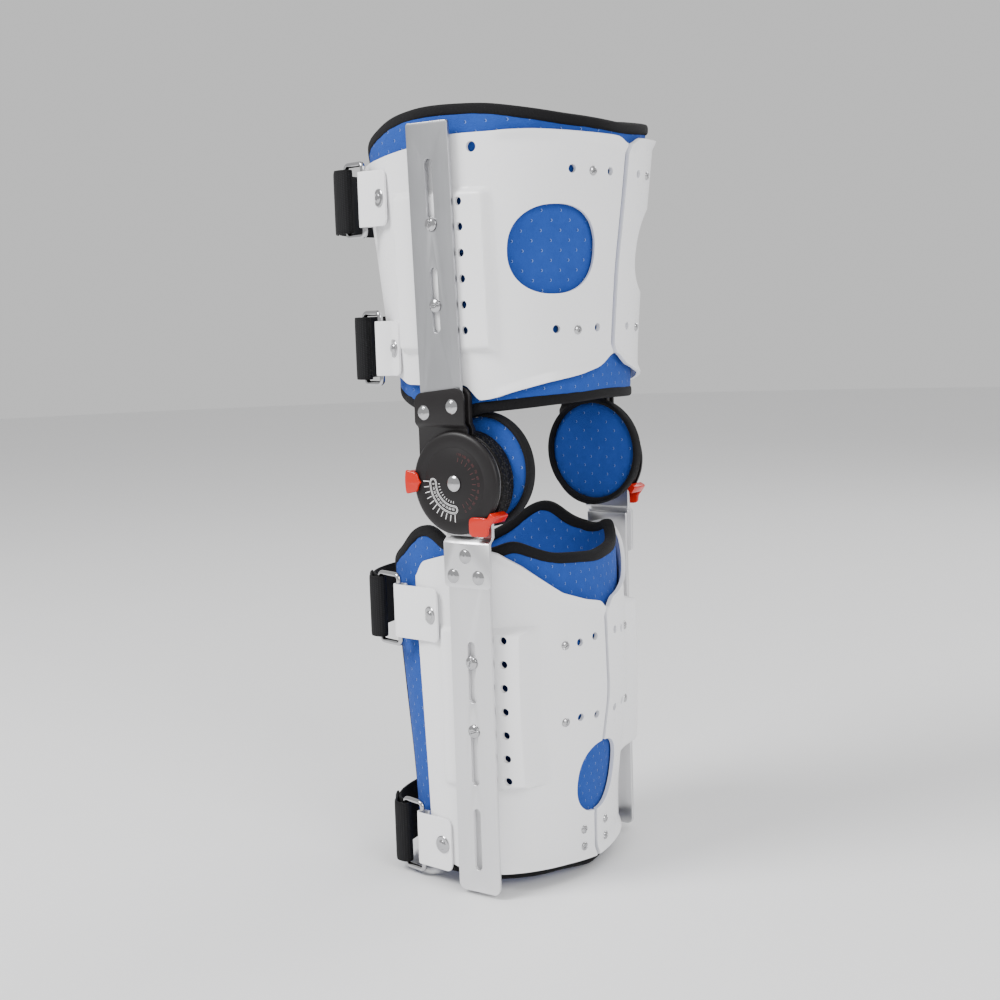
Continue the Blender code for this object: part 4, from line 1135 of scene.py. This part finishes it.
def liner(part):
    """A padded sleeve: outer and inner face over (angle, height), closed round its edges and puffed."""
    degrees = np.linspace(-LINER_END_DEG, 180 + LINER_END_DEG, 150)
    low, high = liner_edges(part, degrees)
    share = np.linspace(0, 1, 54)[:, None]
    height = (low + PUFF_ROOM) + share * (high - low - 2 * PUFF_ROOM)
    angles = np.broadcast_to(degrees, height.shape)
    outer = leg_point(part, angles, height, LINER_OUT - 0.0005)
    normal = leg_normal(part, angles, height)
    inner = outer - (LINER_THICK - PUFF_ROOM) * normal
    loop = np.concatenate((outer, inner[::-1]))
    rows, columns = loop.shape[:2]
    faces = grid_faces(rows, columns, True, False).tolist()
    rings = np.arange(rows) * columns
    half_rows = rows // 2
    for end in (0, columns - 1):
        ids = rings + end
        for index in range(half_rows - 1):
            faces.append([ids[index], ids[index + 1], ids[rows - 2 - index], ids[rows - 1 - index]])
    made = piece(
        f"{part}_liner_dressed", loop, faces, "blue", part, [f"{part}_liner"], 60,
    )
    puffed(made, voxel=0.0037, pressure=3.0, cap=0.0008)
    made.data.shade_smooth()


def liner_binding(part):
    """Tape folded over the liner's whole edge: a rounded profile carried round rim, front edges and hem."""
    degrees = np.linspace(-LINER_END_DEG, 180 + LINER_END_DEG, 400)
    low, high = liner_edges(part, degrees)
    inward = BINDING_INWARD
    front = np.linspace(0, 1, 80)[1:-1]
    near_end, far_end = np.full(len(front), degrees[0]), np.full(len(front), degrees[-1])
    angles = np.concatenate((degrees, far_end, degrees[::-1], near_end))
    heights = np.concatenate((
        high - inward, high[-1] - inward + front * (low[-1] - high[-1] + 2 * inward),
        low[::-1] + inward, low[0] + inward + front * (high[0] - low[0] - 2 * inward),
    ))
    flat = np.stack((np.radians(angles) * LEG_RADIUS, heights), -1)
    flat = softened(resampled(flat, 0.0022, True), 10, True)
    angles, heights = np.degrees(flat[:, 0] / LEG_RADIUS), flat[:, 1]
    path = leg_point(part, angles, heights, LINER_OUT)
    normal = leg_normal(part, angles, heights)
    path = path - LINER_THICK / 2 * normal
    run = tangents(path, True)
    across = np.cross(normal, run)
    across /= np.linalg.norm(across, axis=1, keepdims=True)
    profile = rounded(BINDING_HALF_WIDE, BINDING_HALF_THICK, 3.2, 28)
    points, faces = swept(path, across, normal, profile, True)
    length = lengths(path)
    chart = strip_chart(length, profile)
    piece(f"{part}_liner_binding", points, faces, "binding", part, (), 60, chart)


def condyle_pad(side_name, side):
    """A round pad turned from a soft profile, puffed as cloth, with a bound edge."""
    low, high = PAD_X
    centre_y, centre_z = PAD_CENTRE
    radius = PAD_RADIUS - 0.0022
    profile = np.array((
        (low + 0.0020, 0.0), (low + 0.0021, radius * 0.45), (low + 0.0026, radius * 0.75),
        (low + 0.0038, radius * 0.95), ((low + high) / 2, radius), (high - 0.0020, radius * 0.96),
        (high - 0.0012, radius * 0.8), (high - 0.0010, radius * 0.4), (high - 0.0010, 0.0),
    ))
    fine = resampled(profile, 0.0014)
    turn = np.linspace(0, 2 * np.pi, PAD_SIDES, endpoint=False)
    radii = np.maximum(fine[:, 1:], 1e-5)
    x = np.broadcast_to(side * fine[:, :1], (len(fine), len(turn)))
    points = np.stack((x, centre_y + radii * np.cos(turn), centre_z + radii * np.sin(turn)), -1)
    faces = grid_faces(len(fine), len(turn), False, True).tolist()
    faces.append(list(range(PAD_SIDES)))
    faces.append(list(range((len(fine) - 1) * PAD_SIDES, len(fine) * PAD_SIDES)))
    made = piece(
        f"condyle_pad_{side_name}_dressed", points, faces, "blue_pad", "thigh",
        [f"condyle_pad_{side_name}"], 60,
    )
    puffed(made, voxel=0.0026, pressure=4.0, cap=0.0012)
    made.data.shade_smooth()
    turn = np.linspace(0, 2 * np.pi, 150, endpoint=False)
    reach = PAD_RADIUS - PAD_BINDING[1]
    away = np.stack((np.zeros_like(turn), np.cos(turn), np.sin(turn)), -1)
    path = np.array((side * (low + high) / 2, centre_y, centre_z)) + reach * away
    across = np.tile((1.0, 0.0, 0.0), (len(turn), 1))
    profile = rounded(*PAD_BINDING, 3.0, 28)
    points, faces = swept(path, across, away, profile, True)
    chart = strip_chart(turn * reach, profile)
    name = f"condyle_pad_{side_name}_binding"
    piece(name, points, faces, "binding", "thigh", (), 60, chart)


# Hinges

def glyph(text, size):
    """Flat outline of a number as points and faces, centred, from the built-in typeface."""
    curve = bpy.data.curves.new("glyph", "FONT")
    curve.body = text
    curve.size = size
    curve.align_x = "CENTER"
    curve.align_y = "CENTER"
    curve.extrude = PRINT_THICK
    letter = bpy.data.objects.new("glyph", curve)
    bpy.context.scene.collection.objects.link(letter)
    bpy.context.view_layer.update()
    mesh = bpy.data.meshes.new_from_object(letter.evaluated_get(bpy.context.evaluated_depsgraph_get()))
    bpy.data.objects.remove(letter, do_unlink=True)
    points = np.empty(len(mesh.vertices) * 3)
    mesh.vertices.foreach_get("co", points)
    faces = [list(face.vertices) for face in mesh.polygons]
    bpy.data.meshes.remove(mesh)
    return points.reshape(-1, 3), faces


def on_dial(shape, radius, degrees, side, inward=False):
    """A flat shape stood on the dial's face at an angle, its top away from the pin or towards it."""
    points, faces = shape
    turn = math.radians(degrees)
    away = np.array((0.0, math.cos(turn), math.sin(turn)))
    up = -away if inward else away
    out = np.array((side, 0.0, 0.0))
    right = np.cross(up, out)
    centre = radius * away + (DIAL_X[1] + PRINT_LIFT) * out
    return centre + points[:, :1] * right + points[:, 1:2] * up + points[:, 2:] * out, faces


def bar_mark(length, width):
    """A thin raised rectangle about the origin, its length along the second axis."""
    corners = np.array([(x, y, z) for z in (-1, 1) for x, y in ((-1, -1), (1, -1), (1, 1), (-1, 1))], float)
    corners *= (width / 2, length / 2, PRINT_THICK)
    return corners, [[0, 1, 2, 3], [4, 5, 6, 7], [0, 1, 5, 4], [1, 2, 6, 5], [2, 3, 7, 6], [3, 0, 4, 7]]


def capsule_mark(half_width, side):
    """A thin raised line round a band of the dial: two arcs closed by half circles at their ends."""
    radius = NUMBER_RADIUS
    low, high = TICKS_FROM_DEG + 1.5, TICKS_FROM_DEG + 10 * TICK_STEP_DEG - 1.5
    end, start = np.radians((high, low))
    outer = arc((0, 0), radius + half_width, low, high, 50)
    cap = arc((radius * math.cos(end), radius * math.sin(end)), half_width, high, high + 180, 12)
    inner = arc((0, 0), radius - half_width, high, low, 50)
    foot = arc((radius * math.cos(start), radius * math.sin(start)), half_width, low + 180, low + 360, 12)
    flat = resampled(np.concatenate((outer, cap, inner, foot)), 0.0005, True)
    path = np.column_stack((np.full(len(flat), (DIAL_X[1] + PRINT_LIFT) * side), flat))
    out = np.tile((side, 0.0, 0.0), (len(path), 1))
    across = np.cross(out, tangents(path, True))
    profile = np.array(((-1, -1), (1, -1), (1, 1), (-1, 1))) * (CAPSULE_LINE_WIDE, PRINT_THICK)
    return swept(path, across, out, profile, True)


def dial(side_name, side):
    """A turned dial with a shallow step near its rim, white marks in front and dull red ones behind."""
    low, high = DIAL_X
    step = high - 0.00015
    profile = [(low, 0.0025), (high, 0.0025), (high, 0.0240), (step, 0.0243), (step, 0.0250), (high, 0.0253)]
    profile += [(high, 0.0322), (high - 0.0004, 0.0336), (high - 0.0011, 0.0346)]
    profile += [(high - 0.0018, RIM_RADIUS), (low, RIM_RADIUS)]
    node = f"dial_{side_name}"
    turned(f"{node}_dressed", profile, 128, side, "black", "thigh", [node])
    marks, faint = [], []
    for index in range(11):
        degrees = TICKS_FROM_DEG + TICK_STEP_DEG * index
        length = TICK_LONG if index % 5 == 0 else TICK_SHORT
        marks.append(on_dial(bar_mark(length, TICK_WIDE), TICK_RADIUS, degrees, side))
    for index in range(10):
        degrees = TICKS_FROM_DEG + TICK_STEP_DEG * (index + 0.5)
        marks.append(on_dial(glyph(str(10 * index), NUMBER_SIZE), NUMBER_RADIUS, degrees, side, True))
        marks.append(on_dial(bar_mark(*DASH_SIZE), DASH_RADIUS, degrees, side))
    marks += [capsule_mark(half_width, side) for half_width in CAPSULE_HALF_WIDTHS]
    for index in range(12):
        degrees = FAINT_FROM_DEG + FAINT_STEP_DEG * index
        faint.append(on_dial(glyph(str(10 * index), FAINT_SIZE), FAINT_RADIUS, degrees, side))
        faint.append(on_dial(bar_mark(*FAINT_DASH_SIZE), FAINT_DASH_RADIUS, degrees, side))
    points, faces = joined(marks)
    piece(f"dial_marks_{side_name}", points, faces, "print", "thigh", (), 30)
    points, faces = joined(faint)
    piece(f"dial_faint_marks_{side_name}", points, faces, "red_print", "thigh", (), 30)


def pointed_outline(sizes):
    """A piece of the rim's ring, its inner side drawn out to a blunt point."""
    low, high = sizes["tab"]
    middle = math.radians((low + high) / 2)
    tip = sizes["point"] * np.array((math.cos(middle), math.sin(middle)))
    inner = arc((0, 0), sizes["inner"], high, low, 8)
    inner = np.stack((inner[0], (inner[2] + tip) / 2, tip, (inner[6] + tip) / 2, inner[8]))
    return np.concatenate((arc((0, 0), STOP_OUTER, low, high, 24), inner))


def square_outline(sizes):
    """A rounded square with upright sides and a leg that curves from its side along the rim."""
    y, z, wide, high = sizes["square"]
    start, end, under = sizes["leg"]
    square = rounded(wide, high, SQUARE_POWER, 120)[17:119] + (y, z)
    return np.concatenate((
        square, arc((0, 0), STOP_OUTER, start, end, 12), arc((0, 0), RIM_RADIUS + 0.0006, end, under, 8),
    ))


def stop_clip(name, sizes, side_name, side):
    """A tab over the dial and a bridge over the rim to the hinge's back."""
    front = DIAL_X[1] + 0.0003
    outline = square_outline(sizes) if "square" in sizes else pointed_outline(sizes)
    outline = softened(resampled(outline, 0.0004, True), 12, True)
    node = f"{name}_stop_{side_name}"
    faces_x = (front, front + STOP_THICK)
    plate(f"{node}_tab", [outline], faces_x, 0.0008, side, "red", node, "red_plastic", ())
    low, high = sizes["bridge"]
    inner = arc((0, 0), RIM_RADIUS + 0.0004, high, low, 12)
    outline = np.concatenate((arc((0, 0), STOP_OUTER, low, high, 12), inner))
    outline = softened(resampled(outline, 0.0005, True), 4, True)
    faces_x = (HINGE_BACK_X[0] + 0.0003, front + STOP_THICK * 0.8)
    plate(f"{node}_bridge", [outline], faces_x, 0.0005, side, "red", node, "red_plastic", [node])


def hinge(side_name, side):
    """The stack of one hinge, from the dial in front to the pad against the knee."""
    dial(side_name, side)
    node = f"hinge_bracket_{side_name}"
    outlines = [bracket_outline(RIM_RADIUS - 0.001), pin_hole()]
    jog = (1, JOG["bracket"])
    looks = ("black", "thigh", "black_plastic", [node])
    plate(f"{node}_dressed", outlines, BRACKET_X, 0.0004, side, *looks, jog)
    node = f"hinge_back_{side_name}"
    outlines = [bracket_outline(RIM_RADIUS - 0.0013), pin_hole()]
    jog = (1, JOG["back"])
    looks = ("black", "thigh", "black_plastic", [node])
    plate(f"{node}_dressed", outlines, HINGE_BACK_X, 0.0007, side, *looks, jog)
    node = f"hinge_plate_{side_name}"
    outlines = [foot_outline(PLATE_HEAD_RADIUS), pin_hole()]
    jog = (-1, JOG["plate"])
    looks = ("lower_bar", "calf", "aluminium", [node])
    plate(f"{node}_dressed", outlines, PLATE_X, 0.0003, side, *looks, jog)
    across = (1.0, 0, 0)
    bracket_face = BRACKET_X[1] + JOG["bracket"]
    points, faces = joined([seated(RIVET, (bracket_face, y, z), across, 0, side) for y, z in BRACKET_RIVETS])
    piece(f"bracket_rivets_{side_name}", points, faces, "steel", "thigh")
    plate_face = PLATE_X[1] + JOG["plate"]
    points, faces = joined([seated(RIVET, (plate_face, y, z), across, 0, side) for y, z in PLATE_RIVETS])
    piece(f"plate_rivets_{side_name}", points, faces, "steel", "calf")
    front, rear = DIAL_X[1] + 0.0003, HINGE_BACK_X[0] + 0.0003
    profile = [(rear, 1e-5), (rear, 0.0022), (front, 0.0022), (front, 0.0054), (front + 0.0005, 0.0054)]
    profile += [(front + 0.0011, 0.0047), (front + 0.0015, 0.0036), (front + 0.0017, 0.0020)]
    profile += [(front + 0.0018, 1e-5)]
    node = f"hinge_pin_{side_name}"
    turned(f"{node}_dressed", profile, 48, side, "steel", "thigh", [node])
    low, high = HOOK_RING_X
    sleeve = HINGE_BACK_X[1] - 0.0002
    profile = [(low, 0.0140), (high, 0.0140), (high, 0.0334), (sleeve, 0.0334), (sleeve, 0.0340)]
    profile += [(high + 0.0002, 0.0341), (high - 0.0002, 0.0344), (low + 0.0010, 0.0346), (low, 0.0338)]
    node = f"hook_ring_{side_name}"
    turned(f"{node}_dressed", profile, 128, side, "hook", "thigh", [node])
    stop_clip("extension", EXTENSION, side_name, side)
    stop_clip("flexion", FLEXION, side_name, side)
    condyle_pad(side_name, side)


def bar(part, side_name, side):
    """A flat bar with rounded ends and slots: a plate sheared so that its face follows the bar's path."""
    facts = BARS[part]
    (z_low, x_low), (z_high, x_high) = facts["path"]
    y = facts["y"]
    square = part == "thigh"
    low_corner, high_corner = (0.001, 0.002) if square else (0.005, 0.001)
    outline = np.concatenate((
        arc((y + BAR_HALF_WIDE - high_corner, z_high - high_corner), high_corner, 0, 90, 10),
        arc((y - BAR_HALF_WIDE + high_corner, z_high - high_corner), high_corner, 90, 180, 10),
        arc((y - BAR_HALF_WIDE + low_corner, z_low + low_corner), low_corner, 180, 270, 10),
        arc((y + BAR_HALF_WIDE - low_corner, z_low + low_corner), low_corner, 270, 360, 10),
    ))
    slots = [
        np.concatenate((
            arc((y, high - SLOT_HALF_WIDE), SLOT_HALF_WIDE, 0, 180, 12),
            arc((y, low + SLOT_HALF_WIDE), SLOT_HALF_WIDE, 180, 360, 12),
        ))
        for low, high in facts["slots"]
    ]
    finish = "upper_bar" if square else "lower_bar"
    node = f"{part}_bar_{side_name}"
    looks = (finish, part, "aluminium", [node])
    made = plate(f"{node}_dressed", [outline, *slots], (-BAR_THICK, 0.0), 0.0005, side, *looks)
    points = np.empty(len(made.data.vertices) * 3, dtype=np.float32)
    made.data.vertices.foreach_get("co", points)
    points = points.reshape(-1, 3)
    points[:, 0] += side * (x_low + (points[:, 2] - z_low) / (z_high - z_low) * (x_high - x_low))
    made.data.vertices.foreach_set("co", points.ravel())
    made.data.update()
    heads = []
    for index, z in enumerate(facts["screws"]):
        face = x_low + (z - z_low) / (z_high - z_low) * (x_high - x_low)
        heads.append(seated(PAN_HEAD, (face, y, z), (1.0, 0, 0), (72, 20)[index], side))
        root = np.array((face - BAR_THICK, y, z))
        shank, faces = prism(root, np.array((1.0, 0, 0)), 0.0026, 0.0026, 2, 20, 0.0002, BAR_THICK + 0.0008)
        heads.append((shank * (side, 1, 1), faces))
    points, faces = joined(heads)
    nodes = [f"{part}_bar_screw_{side_name}_{index}" for index in range(len(facts["screws"]))]
    piece(f"{part}_bar_screws_{side_name}", points, faces, "steel", part, nodes)


def shell_fasteners(part, side_name, side, tab_heads):
    """The screws that join the shells, and the rivets of the tabs, as one piece."""
    heads = list(tab_heads)
    for index, (degrees, z) in enumerate(SHELL[part]["screws"]):
        centre = leg_point(part, np.float64(degrees), np.float64(z))
        normal = leg_normal(part, np.float64(degrees), np.float64(z))
        heads.append(seated(SMALL_SCREW, centre, normal, (30, 75, 140, 10)[index], side))
    points, faces = joined(heads)
    piece(f"{part}_fasteners_{side_name}", points, faces, "steel", part)


def build():
    """Every piece: liners, then each side's hinge, shells, bars, rings and tabs, then the straps."""
    for part in ("thigh", "calf"):
        liner(part)
        liner_binding(part)
    for side_name, side in SIDES.items():
        hinge(side_name, side)
        for part in ("thigh", "calf"):
            shell(part, side_name, side)
            bar(part, side_name, side)
            heads = []
            for name in STRAPS:
                if name.startswith(part):
                    ring(name, side_name, side, part)
                    heads.append(tab(name, side_name, side, part))
            shell_fasteners(part, side_name, side, heads)
    for name in STRAPS:
        strap(name, name.split("_")[0])


# Studio

CAMERA_PLACE = (0.93441, 0.64032, 0.11655)
CAMERA_RIGHT = (-0.58023, 0.81383, -0.03174)
CAMERA_UP = (-0.11688, -0.04464, 0.99214)
CAMERA_LENS = 56.89


def camera():
    """The camera at the photograph's place, its axes given as right, up and backwards."""
    made = bpy.data.objects.new("camera", bpy.data.cameras.new("camera"))
    bpy.context.scene.collection.objects.link(made)
    right, up = Vector(CAMERA_RIGHT).normalized(), Vector(CAMERA_UP)
    back = right.cross(up).normalized()
    up = back.cross(right)
    turn = Matrix((right, up, back)).transposed().to_4x4()
    made.matrix_world = Matrix.Translation(CAMERA_PLACE) @ turn
    made.data.lens = CAMERA_LENS
    made.data.sensor_width = 36
    made.data.sensor_fit = "HORIZONTAL"
    bpy.context.scene.camera = made


def softbox(name, place, target, size, power):
    """A large round soft light that looks at its target."""
    light = bpy.data.lights.new(name, "AREA")
    light.shape = "DISK"
    light.size = size
    light.energy = power
    made = bpy.data.objects.new(name, light)
    bpy.context.scene.collection.objects.link(made)
    made.location = place
    made.rotation_euler = (Vector(target) - Vector(place)).to_track_quat("-Z", "Y").to_euler()


def studio():
    """A wide pale floor, a pale world and three large soft lights."""
    turn = np.linspace(0, 2 * np.pi, 96, endpoint=False)
    reach = np.array((0.02, 0.6, 1.6, 6.0))[:, None]
    points = np.stack(np.broadcast_arrays(reach * np.cos(turn), reach * np.sin(turn), FLOOR_Z), -1)
    faces = grid_faces(4, 96, False, True).tolist() + [list(range(96))]
    mesh = bpy.data.meshes.new("floor")
    mesh.from_pydata(points.reshape(-1, 3).tolist(), [], faces)
    mesh.materials.append(FINISH["floor"])
    floor = bpy.data.objects.new("floor", mesh)
    bpy.context.scene.collection.objects.link(floor)
    world = bpy.data.worlds.new("studio")
    bpy.context.scene.world = world
    world.use_nodes = True
    world.node_tree.nodes["Background"].inputs["Color"].default_value = (1.0, 1.0, 1.0, 1)
    world.node_tree.nodes["Background"].inputs["Strength"].default_value = 0.72
    softbox("key", (1.5, -0.9, 1.6), (0, 0, 0), 1.1, 64)
    softbox("fill", (0.9, 1.9, 1.0), (0, 0, -0.05), 1.3, 30)
    softbox("back", (-1.8, 0.4, 1.4), (0, 0, 0), 1.4, 19)


build()
studio()
camera()
